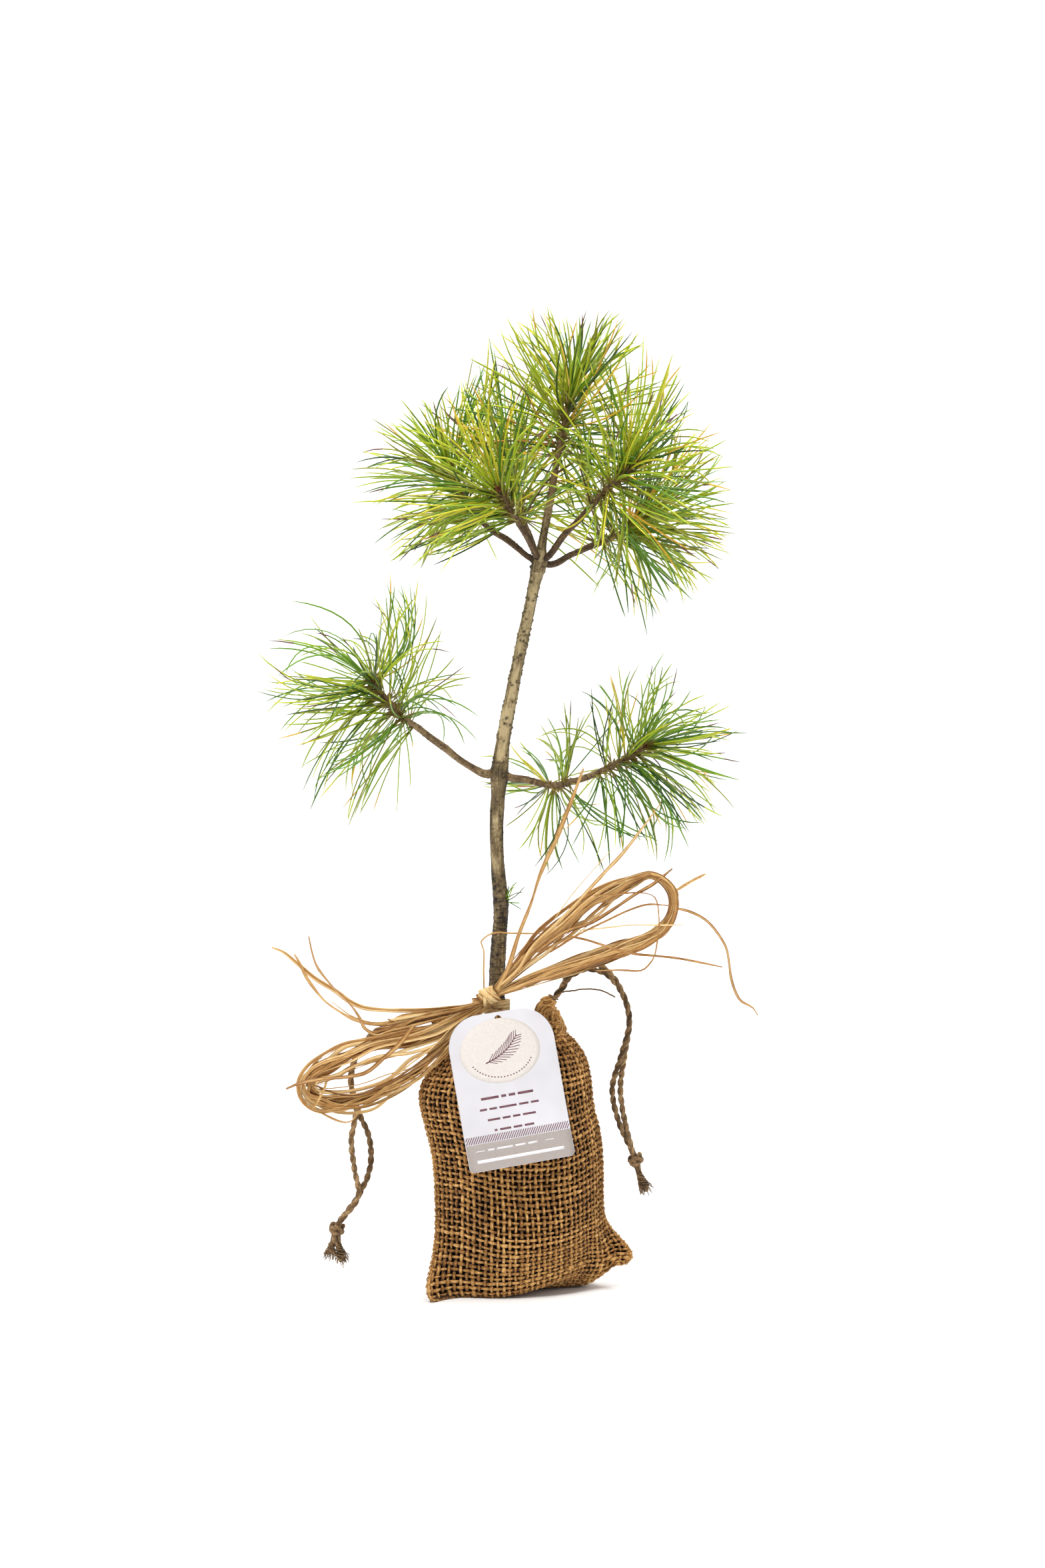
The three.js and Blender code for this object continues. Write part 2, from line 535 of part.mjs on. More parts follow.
// each mass is cut round the trunk and round the masses placed before it
const masses = [];
const limbs = [];
const addMass = (name, spec) => {
  place(name, "needles", tuft(spec), [trunkGrown, ...masses, ...limbs]);
  masses.push(tuft(spec, GAP));
};
for (const [name, spec] of Object.entries(TUFTS)) addMass(name, spec);
// boughs run from the trunk to where they enter their mass
for (const [name, spec] of Object.entries(BOUGHS)) {
  place(name, "twig", bough(spec), [trunkGrown, ...masses, ...limbs]);
  limbs.push(bough(spec, GAP));
}
// the small tuft low on the right sits round its bough and the trunk
for (const [name, spec] of Object.entries(INNER_TUFTS)) addMass(name, spec);

place("raffia_wrap", "raffia", wrap(), [trunkGrown]);
const tied = [trunkGrown, wrap(GAP)];
place("raffia_knot", "raffia", knot(), tied);
tied.push(knot(GAP), ...masses, ...limbs, hemGrown);
for (const [name, spec] of Object.entries(RAFFIA.runs)) {
  place(name, "raffia", ribbon(spec), tied);
  tied.push(ribbon(spec, GAP));
}

for (const [side, sign, letter] of [["right", 1, "a"], ["right", -1, "b"], ["left", 1, "a"], ["left", -1, "b"]])
  place(`drawstring_${side}_${letter}`, "jute", strand(side, sign));
place("drawstring_right_knot", "jute", twineKnot([55.4, 8, 62.6], [62.3, 8, 42], 4.2));
place("drawstring_left_knot", "jute", twineKnot([-84.2, 0, 31.4], [-87, 0, 8.5], 4.2));

place("hang_tag", "card", tag());

export default group;
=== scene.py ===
# A young white pine sapling on its burlap-wrapped root ball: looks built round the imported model.
# Blender works in metres here. Sizes below are written in millimetres and scaled by MM on the way into a mesh.
import bpy
import math
import numpy as np
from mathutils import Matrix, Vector


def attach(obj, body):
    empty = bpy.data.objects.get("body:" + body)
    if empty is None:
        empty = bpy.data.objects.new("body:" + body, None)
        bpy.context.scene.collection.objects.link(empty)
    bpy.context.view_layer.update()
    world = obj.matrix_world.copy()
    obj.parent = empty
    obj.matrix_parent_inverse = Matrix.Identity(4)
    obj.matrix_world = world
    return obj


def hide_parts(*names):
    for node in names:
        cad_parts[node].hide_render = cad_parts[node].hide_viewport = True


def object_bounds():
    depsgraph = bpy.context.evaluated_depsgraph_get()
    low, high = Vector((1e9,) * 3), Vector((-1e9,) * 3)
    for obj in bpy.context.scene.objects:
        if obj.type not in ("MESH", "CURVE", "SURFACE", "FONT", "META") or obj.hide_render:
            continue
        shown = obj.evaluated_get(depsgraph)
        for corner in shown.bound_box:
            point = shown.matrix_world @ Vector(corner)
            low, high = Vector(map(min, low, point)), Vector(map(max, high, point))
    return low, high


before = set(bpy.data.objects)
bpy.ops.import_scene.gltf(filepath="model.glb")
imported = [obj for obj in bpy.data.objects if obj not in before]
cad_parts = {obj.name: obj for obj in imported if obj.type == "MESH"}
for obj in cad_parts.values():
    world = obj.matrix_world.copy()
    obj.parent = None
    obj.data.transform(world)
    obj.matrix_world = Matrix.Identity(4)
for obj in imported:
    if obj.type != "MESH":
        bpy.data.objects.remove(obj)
cad_box = [list(v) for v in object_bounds()]
MM = 0.001
scene = bpy.context.scene
UP = np.array([0.0, 0.0, 1.0])


# ------------------------------------------------------------------ small maths
def unit(v):
    v = np.asarray(v, float)
    return v / np.maximum(np.linalg.norm(v, axis=-1, keepdims=True), 1e-12)


def smooth(t):
    t = np.clip(t, 0.0, 1.0)
    return t * t * (3 - 2 * t)


def lerp(a, b, t):
    return a + (b - a) * t


def lattice(ix, iy, iz, seed):
    h = (ix * 374761393 + iy * 668265263 + iz * 2147483647 + seed * 1274126177) & 0xFFFFFFFF
    h = ((h ^ (h >> 13)) * 1274126177) & 0xFFFFFFFF
    h = (h ^ (h >> 16)) & 0xFFFFFFFF
    return h / 4294967295.0


def vnoise(p, seed=0):
    """Smooth value noise in 0..1 at points p (N,3)."""
    p = np.asarray(p, float)
    i = np.floor(p).astype(np.int64)
    f = p - i
    f = f * f * (3 - 2 * f)
    total = 0.0
    for dx in (0, 1):
        wx = f[..., 0] if dx else 1 - f[..., 0]
        for dy in (0, 1):
            wy = f[..., 1] if dy else 1 - f[..., 1]
            for dz in (0, 1):
                wz = f[..., 2] if dz else 1 - f[..., 2]
                total = total + wx * wy * wz * lattice(i[..., 0] + dx, i[..., 1] + dy, i[..., 2] + dz, seed)
    return total


def spline(points, n, closed=False):
    """Centripetal Catmull-Rom through the points, as three.js draws it, resampled to n points of even spacing."""
    p = np.asarray(points, float)
    head, tail = 2 * p[0] - p[1], 2 * p[-1] - p[-2]
    q = np.vstack([head, p, tail])
    out = []
    per = 24
    for k in range(1, len(q) - 2):
        p0, p1, p2, p3 = q[k - 1], q[k], q[k + 1], q[k + 2]
        d0 = max(np.linalg.norm(p1 - p0) ** 0.5, 1e-4)
        d1 = max(np.linalg.norm(p2 - p1) ** 0.5, 1e-4)
        d2 = max(np.linalg.norm(p3 - p2) ** 0.5, 1e-4)
        t1 = (p1 - p0) / d0 - (p2 - p0) / (d0 + d1) + (p2 - p1) / d1
        t2 = (p2 - p1) / d1 - (p3 - p1) / (d1 + d2) + (p3 - p2) / d2
        t1, t2 = t1 * d1, t2 * d1
        t = np.linspace(0, 1, per, endpoint=False)[:, None]
        out.append((2 * t**3 - 3 * t**2 + 1) * p1 + (t**3 - 2 * t**2 + t) * t1 + (-2 * t**3 + 3 * t**2) * p2 + (t**3 - t**2) * t2)
    out.append(p[-1:])
    c = np.vstack(out)
    return resample(c, n)


def resample(c, n):
    seg = np.linalg.norm(np.diff(c, axis=0), axis=1)
    s = np.concatenate([[0], np.cumsum(seg)])
    at = np.linspace(0, s[-1], n)
    return np.stack([np.interp(at, s, c[:, k]) for k in range(c.shape[1])], axis=1)


def length_of(c):
    return float(np.linalg.norm(np.diff(c, axis=0), axis=1).sum())


def wander(n, rng, waves=4, rough=1.0):
    """A smooth random line of n values, about -1..1."""
    t = np.linspace(0, 1, n)
    out = np.zeros(n)
    for k in range(1, waves + 1):
        out += math.cos(rng.uniform(0, 6.28)) * 0 + np.sin(2 * math.pi * (k * 0.55 * rough * t + rng.uniform())) / k**0.7
    return out / sum(1 / k**0.7 for k in range(1, waves + 1))


# ------------------------------------------------------------------ meshes from arrays
class Bag:
    """Collects vertices and faces of one piece."""

    def __init__(self):
        self.v, self.q, self.t, self.qm, self.tm, self.n = [], [], [], [], [], 0

    def add(self, verts, quads=None, tris=None, mat=0):
        verts = np.asarray(verts, float).reshape(-1, 3)
        if quads is not None and len(quads):
            quads = np.asarray(quads, np.int64).reshape(-1, 4) + self.n
            self.q.append(quads)
            self.qm.append(np.full(len(quads), mat, np.int32) if np.isscalar(mat) else np.asarray(mat))
        if tris is not None and len(tris):
            tris = np.asarray(tris, np.int64).reshape(-1, 3) + self.n
            self.t.append(tris)
            self.tm.append(np.full(len(tris), mat if np.isscalar(mat) else 0, np.int32))
        self.v.append(verts)
        self.n += len(verts)

    def make(self, name, materials, slot, shade=True):
        v = np.vstack(self.v) * MM
        q = np.vstack(self.q) if self.q else np.zeros((0, 4), np.int64)
        t = np.vstack(self.t) if self.t else np.zeros((0, 3), np.int64)
        me = bpy.data.meshes.new(name)
        me.vertices.add(len(v))
        me.vertices.foreach_set("co", v.astype(np.float32).ravel())
        loops = np.concatenate([q.ravel(), t.ravel()]).astype(np.int32)
        starts = np.concatenate([np.arange(len(q)) * 4, len(q) * 4 + np.arange(len(t)) * 3]).astype(np.int32)
        me.loops.add(len(loops))
        me.loops.foreach_set("vertex_index", loops)
        me.polygons.add(len(starts))
        me.polygons.foreach_set("loop_start", starts)
        index = np.concatenate((self.qm or [np.zeros(0, np.int32)]) + (self.tm or [np.zeros(0, np.int32)])).astype(np.int32)
        if len(index) == len(starts):
            me.polygons.foreach_set("material_index", index)
        me.polygons.foreach_set("use_smooth", np.full(len(starts), shade))
        me.update(calc_edges=True)
        me.validate()
        ob = bpy.data.objects.new(name, me)
        scene.collection.objects.link(ob)
        for m in materials if isinstance(materials, (list, tuple)) else [materials]:
            me.materials.append(m)
        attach(ob, "root")
        return ob


def frames(p, ref):
    """Tangent and two cross axes along centrelines p (...,M,3); A lies along ref as nearly as it can."""
    t = unit(np.gradient(p, axis=-2))
    ref = np.broadcast_to(np.asarray(ref, float), p.shape)
    a = unit(ref - (ref * t).sum(-1, keepdims=True) * t)
    b = np.cross(t, a)
    return t, a, b


def tubes(bag, p, a_axis, b_axis, ra, rb, sides, mat=0, phase=0.0, caps=True, profile=None):
    """Tubes round centrelines p (N,M,3). ra and rb are half sizes (N,M). profile (sides,) scales the radius round the section."""
    p = np.asarray(p, float)
    if p.ndim == 2:
        p, a_axis, b_axis = p[None], a_axis[None], b_axis[None]
    n, m = p.shape[:2]
    ra = np.broadcast_to(np.asarray(ra, float), (n, m))
    rb = np.broadcast_to(np.asarray(rb, float), (n, m))
    th = phase + np.arange(sides) * 2 * math.pi / sides
    c, s = np.cos(th), np.sin(th)
    if profile is not None:
        c, s = c * profile, s * profile
    v = p[:, :, None, :] + (ra[:, :, None] * c)[..., None] * a_axis[:, :, None, :] + (rb[:, :, None] * s)[..., None] * b_axis[:, :, None, :]
    i = np.arange(n)[:, None, None] * m * sides
    j = np.arange(m - 1)[None, :, None] * sides
    k = np.arange(sides)[None, None, :]
    k2 = (k + 1) % sides
    quads = np.stack(np.broadcast_arrays(i + j + k, i + j + k2, i + j + sides + k2, i + j + sides + k), axis=-1).reshape(-1, 4)
    if np.ndim(mat):
        mq = np.repeat(np.asarray(mat), (m - 1) * sides)
    else:
        mq = mat
    tris = None
    if caps:
        fan = np.array([[0, q + 1, q] for q in range(1, sides - 1)])
        start = (np.arange(n) * m * sides)[:, None, None] + fan[None]
        end = (np.arange(n) * m * sides + (m - 1) * sides)[:, None, None] + fan[None][..., ::-1]
        tris = np.concatenate([start.reshape(-1, 3), end.reshape(-1, 3)])
    if np.ndim(mat):
        bag.v.append(v.reshape(-1, 3))
        bag.q.append(quads + bag.n)
        bag.qm.append(np.asarray(mq, np.int32))
        if tris is not None:
            per = sides - 2
            bag.t.append(tris + bag.n)
            bag.tm.append(np.concatenate([np.repeat(np.asarray(mat), per)] * 2).astype(np.int32))
        bag.n += n * m * sides
    else:
        bag.add(v, quads, tris, mq)


# ------------------------------------------------------------------ materials
def material(name, rough=0.7, spec=0.3, sheen=0.0, coat=0.0):
    m = bpy.data.materials.new(name)
    m.use_nodes = True
    b = m.node_tree.nodes["Principled BSDF"]
    b.inputs["Roughness"].default_value = rough
    b.inputs["Specular IOR Level"].default_value = spec
    if sheen:
        b.inputs["Sheen Weight"].default_value = sheen
    if coat:
        b.inputs["Coat Weight"].default_value = coat
    return m, m.node_tree, b


def lin(c):
    """sRGB 0..1 to linear, with alpha."""
    return tuple((x / 12.92 if x <= 0.04045 else ((x + 0.055) / 1.055) ** 2.4) for x in c) + (1.0,)


def ramp(nt, stops, fac):
    r = nt.nodes.new("ShaderNodeValToRGB")
    e = r.color_ramp.elements
    while len(e) > len(stops):
        e.remove(e[-1])
    while len(e) < len(stops):
        e.new(1.0)
    for el, (pos, col) in zip(e, stops):
        el.position = pos
        el.color = lin(col)
    nt.links.new(fac, r.inputs["Fac"])
    return r.outputs["Color"]


def noise(nt, scale, detail=4.0, rough=0.6, stretch=None, offset=None):
    tc = nt.nodes.new("ShaderNodeTexCoord")
    src = tc.outputs["Object"]
    if stretch is not None:
        mp = nt.nodes.new("ShaderNodeMapping")
        mp.inputs["Scale"].default_value = stretch
        if offset:
            mp.inputs["Location"].default_value = offset
        nt.links.new(src, mp.inputs["Vector"])
        src = mp.outputs["Vector"]
    n = nt.nodes.new("ShaderNodeTexNoise")
    n.inputs["Scale"].default_value = scale
    n.inputs["Detail"].default_value = detail
    n.inputs["Roughness"].default_value = rough
    nt.links.new(src, n.inputs["Vector"])
    return n.outputs["Fac"]


def bump(nt, bsdf, height, strength, distance):
    b = nt.nodes.new("ShaderNodeBump")
    b.inputs["Strength"].default_value = strength
    b.inputs["Distance"].default_value = distance
    nt.links.new(height, b.inputs["Height"])
    nt.links.new(b.outputs["Normal"], bsdf.inputs["Normal"])


def mix_colour(nt, fac, a, b, kind="MIX"):
    mx = nt.nodes.new("ShaderNodeMix")
    mx.data_type = "RGBA"
    mx.blend_type = kind
    for key, val in (("Factor", fac), ("A", a), ("B", b)):
        sock = [s for s in mx.inputs if s.name == key and (s.type == "RGBA" or key == "Factor" and s.type == "VALUE")][0]
        if isinstance(val, (float, int)):
            sock.default_value = val
        elif isinstance(val, tuple):
            sock.default_value = lin(val) if len(val) == 3 else val
        else:
            nt.links.new(val, sock)
    return [s for s in mx.outputs if s.type == "RGBA"][0]


def island(nt):
    g = nt.nodes.new("ShaderNodeNewGeometry")
    return g.outputs["Random Per Island"]


def fibre_material(name, colours, rough, spec, scale, bump_depth, sheen=0.0, island_share=0.5, stretch=None):
    """A plant-fibre look: colour runs between the tones by a fine noise and by the single strand."""
    m, nt, b = material(name, rough, spec, sheen)
    n1 = noise(nt, scale, 5, 0.65, stretch)
    n2 = noise(nt, scale * 0.16, 3, 0.5)
    mix = nt.nodes.new("ShaderNodeMath"); mix.operation = "MULTIPLY_ADD"
    nt.links.new(island(nt), mix.inputs[0]); mix.inputs[1].default_value = island_share
    add = nt.nodes.new("ShaderNodeMath"); add.operation = "MULTIPLY_ADD"
    nt.links.new(n1, add.inputs[0]); add.inputs[1].default_value = 1.1
    add.inputs[2].default_value = -0.3 - 0.5 * island_share
    nt.links.new(add.outputs[0], mix.inputs[2])
    add2 = nt.nodes.new("ShaderNodeMath"); add2.operation = "MULTIPLY_ADD"
    nt.links.new(n2, add2.inputs[0]); add2.inputs[1].default_value = 0.5
    nt.links.new(mix.outputs[0], add2.inputs[2])
    steps = len(colours) - 1
    col = ramp(nt, [(0.08 + 0.84 * i / steps, c) for i, c in enumerate(colours)], add2.outputs[0])
    nt.links.new(col, b.inputs["Base Color"])
    if bump_depth:
        bump(nt, b, n1, 0.6, bump_depth)
    return m


# ------------------------------------------------------------------ camera
def make_camera():
    cam_data = bpy.data.cameras.new("camera")
    cam = bpy.data.objects.new("camera", cam_data)
    scene.collection.objects.link(cam)
    scene.camera = cam
    cam.location = (2.8 * MM, -1602 * MM, 320 * MM)
    target = Vector((2.8 * MM, 0, 238.4 * MM))
    cam.rotation_euler = (target - cam.location).to_track_quat("-Z", "Y").to_euler()
    cam_data.sensor_width = 36
    cam_data.lens = 78.6
    cam_data.clip_start = 0.05
    cam_data.clip_end = 30
    return cam


camera = make_camera()
scene.view_settings.view_transform = "Standard"
scene.view_settings.look = "None"

# ------------------------------------------------------------------ drawstrings: the routes of part.mjs
TWINE = dict(
    radius=1.1, apart=1.35, open_right=2.0, open_left=4.6, lobe_right=(0.62, 0.98), lobe_left=(0.55, 0.87),
    right=[(21.5, 8, 141.5), (25.5, 8, 148.5), (34, 8, 152.2), (43, 8, 148.5), (50, 8, 139), (53.3, 8, 126),
           (50.4, 8, 110), (47.2, 8, 94), (49.8, 8, 78), (54.6, 8, 64.5)],
    left=[(-40.5, -6, 129), (-52, -5, 128), (-64, -3, 123.5), (-73.5, -1, 114), (-78, 0, 100), (-75.2, 0, 85),
          (-73.6, 0, 71), (-72.8, 0, 57), (-74.6, 0, 44), (-82.2, 0, 33.4)])

JUTE_TONES = [(.17, .12, .07), (.36, .27, .17), (.53, .42, .29), (.74, .62, .45)]
jute_mat = fibre_material("jute_twine", JUTE_TONES, 0.9, 0.15, 900, 0.0004, sheen=0.15)
fuzz_mat = fibre_material("jute_fuzz", [(.50, .38, .24), (.68, .54, .36), (.80, .68, .50)], 0.9, 0.1, 400, 0)


def strand_route(side, sign):
    line = TWINE[side]
    open_ = TWINE["open_" + side]
    start, stop = TWINE["lobe_" + side]
    n = len(line) - 1
    pts = []
    for i, (x, y, z) in enumerate(line):
        t = i / n
        part = math.sin(math.pi * (t - start) / (stop - start)) if start < t < stop else 0
        lift = 1.6 * math.sin(math.pi * t / 0.4) if side == "right" and t < 0.4 else 0
        pts.append((x + sign * part * open_, y + sign * TWINE["apart"], z + sign * lift))
    return pts


def plied(bag, c, pitch=8.4, offset=0.60, ply=0.94, rng=None, turn=0.0, sides=7, end_taper=True):
    """Two plies twisted round the centreline c (M,3)."""
    t, a, b = frames(c, (0, 1, 0.02))
    s = np.concatenate([[0], np.cumsum(np.linalg.norm(np.diff(c, axis=0), axis=1))])
    m = len(c)
    for k in range(2):
        ang = turn + 2 * math.pi * s / pitch + math.pi * k
        ang = ang + 0.35 * wander(m, rng, 5, 2)
        off = offset * (1 + 0.12 * wander(m, rng, 6, 4))
        p = c + (np.cos(ang) * off)[:, None] * a + (np.sin(ang) * off)[:, None] * b
        r = ply * (1 + 0.16 * wander(m, rng, 8, 6))
        # each ply is a tube round its own line
        _, pa, pb = frames(p, (0, 1, 0.02))
        tubes(bag, p, pa, pb, r, r, sides, phase=rng.uniform(0, 6))


def make_twine():
    rng = np.random.default_rng(11)
    cords = []
    fuzz = Bag()
    for side in ("right", "left"):
        for sign, letter in ((1, "a"), (-1, "b")):
            pts = strand_route(side, sign)
            ln = length_of(spline(pts, 200))
            c = spline(pts, int(ln / 0.5))
            bag = Bag()
            plied(bag, c, rng=rng, turn=rng.uniform(0, 6))
            ob = bag.make(f"drawstring_{side}_{letter}", jute_mat, "jute")
            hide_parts(f"drawstring_{side}_{letter}")
            cords.append((side, letter, ob, c, ln))
            hairs(fuzz, c, int(ln * 0.55), 1.0, (1.2, 3.8), rng)
    return cords, fuzz


def hairs(bag, c, count, off, span, rng, width=0.045):
    """Loose fibres that stand off a centreline."""
    t, a, b = frames(c, (0, 1, 0.02))
    idx = rng.integers(2, len(c) - 3, count)
    ang = rng.uniform(0, 2 * math.pi, count)
    out = np.cos(ang)[:, None] * a[idx] + np.sin(ang)[:, None] * b[idx]
    start = c[idx] + out * (off * rng.uniform(0.5, 1.0, count))[:, None]
    d = unit(out * rng.uniform(0.3, 1.0, count)[:, None] + t[idx] * rng.uniform(-1, 1, count)[:, None] + rng.normal(0, 0.25, (count, 3)))
    ln = rng.uniform(span[0], span[1], count)
    m = 5
    k = np.linspace(0, 1, m)
    bend = rng.normal(0, 0.6, (count, 3))
    dirs = unit(d[:, None, :] + bend[:, None, :] * k[None, :, None])
    p = start[:, None, :] + np.cumsum(dirs * (ln / (m - 1))[:, None, None], axis=1) - dirs[:, :1] * (ln / (m - 1))[:, None, None]
    _, pa, pb = frames(p, (0.3, 1, 0.2))
    w = width * (1 - 0.7 * k)[None, :] * np.ones((count, 1))
    tubes(bag, p, pa, pb, w, w, 3, caps=False)


def overhand(centre, direction, size, rng, bag, tails):
    """A tight overhand knot of plied twine and the frayed tails that leave it."""
    d = unit(direction)
    side = unit(np.cross(d, (0, 1, 0)))
    face = np.cross(side, d)
    k = np.linspace(0, 1, 90)
    # two wraps that cross over each other round the standing part
    for j, (turns, r, tilt) in enumerate([(1.45, 2.15, 0.55), (1.25, 1.9, -0.7)]):
        ang = 2 * math.pi * turns * k + j * 2.2
        p = (centre + np.outer(np.cos(ang) * r * size, side) + np.outer(np.sin(ang) * r * size * 0.8, face)
             + np.outer((k - 0.5) * 3.2 * size * (1 if j == 0 else -0.8) + tilt * np.sin(ang), d))
        plied(bag, p, rng=rng, turn=j, sides=6)
    core = np.array(centre) + np.outer(np.linspace(-3.0, 2.6, 16) * size, d)
    plied(bag, core, rng=rng, sides=6)
    for end, n_fibre in tails:
        end = np.asarray(end, float)
        mid = (centre + end) / 2 + side * rng.uniform(-1.5, 1.5)
        c = spline([centre, mid, end], 60)
        frays(bag, c, n_fibre, rng)


def frays(bag, c, count, rng):
    """Untwisted fibres that follow c and spread towards its end."""
    m = len(c)
    t, a, b = frames(c, (0, 1, 0.02))
    k = np.linspace(0, 1, m)
    spread = 1.7 + 2.3 * smooth((k - 0.5) / 0.5) - 0.45 * np.exp(-((k - 0.32) / 0.16) ** 2)
    rad = np.sqrt(rng.uniform(0, 1, count))
    ang0 = rng.uniform(0, 2 * math.pi, count)
    tw = 2 * math.pi * (1 - 0.8 * smooth((k - 0.3) / 0.5))
    ang = ang0[:, None] + (tw * 1.6)[None, :] * 1.0
    off = rad[:, None] * spread[None, :]
    p = c[None] + (np.cos(ang) * off)[..., None] * a[None] + (np.sin(ang) * off)[..., None] * b[None]
    p = p + (rng.normal(0, 0.9, (count, 1, 3)) * (k**2)[None, :, None])
    keep = rng.uniform(0.72, 1.0, count)
    # each fibre is cut to its own length
    q = np.empty_like(p)
    for i in range(count):
        q[i] = resample(p[i, : max(4, int(m * keep[i]))], m)
    _, pa, pb = frames(q, (0.2, 1, 0.1))
    w = rng.uniform(0.19, 0.34, count)[:, None] * (1 - 0.35 * k)[None, :]
    tubes(bag, q[:, ::3], pa[:, ::3], pb[:, ::3], w[:, ::3], w[:, ::3], 4)


cords, twine_fuzz = make_twine()
knot_rng = np.random.default_rng(5)
for side, centre, direction, tails in (
        ("right", np.array([56.4, 8, 59.8]), (0.35, 0, -1), [((62.6, 7.2, 43.6), 105)]),
        ("left", np.array([-84.9, 0, 28.4]), (-0.25, 0, -1), [((-88.6, 0.6, 12.4), 72), ((-80.6, -0.8, 10.6), 66)])):
    bag = Bag()
    overhand(centre, direction, 1.12, knot_rng, bag, tails)
    for strand_side, letter, _, line, _ in cords:
        if strand_side == side:
            end, way = line[-1], unit(line[-1] - line[-5])
            plied(bag, spline([end - way * 1.2, end + way * 0.8, (end + centre) / 2 + way * 0.5, centre + unit(direction) * 0.6], 24), rng=knot_rng, turn=knot_rng.uniform(0, 6), sides=6)
    ob = bag.make(f"drawstring_{side}_knot", jute_mat, "jute")
    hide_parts(f"drawstring_{side}_knot")
fuzz_ob = twine_fuzz.make("drawstring_fuzz", fuzz_mat, "jute")
cord_list = []
for side, letter, ob, c, ln in cords:
    [tuple(p * MM) for p in resample(c, 40)]

# ------------------------------------------------------------------ stage and light
def make_stage():
    # a pale sheet: flat floor that curves up into the backdrop
    ys = np.concatenate([np.linspace(-2200, 900, 12), 900 + 700 * np.sin(np.linspace(0.1, math.pi / 2, 14)), np.full(6, 1600.0)])
    zs = np.concatenate([np.zeros(12), 700 * (1 - np.cos(np.linspace(0.1, math.pi / 2, 14))), np.linspace(760, 3000, 6)])
    xs = np.linspace(-2600, 2600, 9)
    v = np.array([[x, y, z - 0.05] for y, z in zip(ys, zs) for x in xs]) * MM
    nx = len(xs)
    f = [(j * nx + i, j * nx + i + 1, (j + 1) * nx + i + 1, (j + 1) * nx + i) for j in range(len(ys) - 1) for i in range(nx - 1)]
    me = bpy.data.meshes.new("backdrop")
    me.from_pydata(v.tolist(), [], f)
    for p in me.polygons:
        p.use_smooth = True
    ob = bpy.data.objects.new("backdrop", me)
    scene.collection.objects.link(ob)
    m, nt, b = material("studio_white", 0.9, 0.1)
    b.inputs["Base Color"].default_value = (0.93, 0.93, 0.93, 1)
    me.materials.append(m)


def area_light(name, place, aim, size, power, colour=(1, 1, 1)):
    data = bpy.data.lights.new(name, "AREA")
    data.shape = "DISK"
    data.size = size
    data.energy = power
    data.color = colour
    ob = bpy.data.objects.new(name, data)
    scene.collection.objects.link(ob)
    ob.location = place
    ob.rotation_euler = (Vector(aim) - ob.location).to_track_quat("-Z", "Y").to_euler()
    return ob


make_stage()
area_light("key", (-0.62, -1.0, 1.55), (0, 0, 0.2), 0.6, 15.5, (1.0, 0.985, 0.96))
area_light("fill", (1.2, -0.8, 0.9), (0, 0, 0.22), 1.0, 3.6, (0.97, 0.985, 1.0))
area_light("top", (0.25, 0.25, 1.6), (0, 0, 0.3), 0.8, 9)
area_light("backdrop_wash", (0, 0.2, 1.9), (0, 1.5, 0.5), 1.8, 42)
world = bpy.data.worlds.new("world")
scene.world = world
world.use_nodes = True
world.node_tree.nodes["Background"].inputs["Color"].default_value = (1, 1, 1, 1)
world.node_tree.nodes["Background"].inputs["Strength"].default_value = 0.36


# ------------------------------------------------------------------ trunk and boughs
TRUNK = [(115, -9.9, 4.6), (133, -9.4, 4.0), (154, -8.9, 3.75), (166, -8.1, 3.7), (176, -7.4, 3.65), (184, -7.4, 3.75), (192, -8.2, 3.35),
         (203, -9.0, 3.25), (218, -9.4, 3.2), (231, -8.8, 3.25), (239, -8.3, 3.9), (244, -8.1, 4.15), (249, -7.4, 3.75), (256, -6.6, 3.35),
         (270, -4.3, 3.15), (284, -1.6, 3.0), (300, 1.7, 2.85), (312, 4.1, 2.75), (324, 6.8, 2.68), (333, 8.6, 2.8), (339.5, 10.0, 3.45),
         (343.5, 10.9, 3.35), (349, 11.8, 2.2), (356, 12.9, 1.85), (374, 16.4, 1.65), (392, 19.2, 1.5), (407, 22.4, 1.4), (416, 24.2, 1.35), (422, 25.8, 1.25)]
LOW = (-8.3, 0, 244)
TOP = (10.7, 0, 342.5)
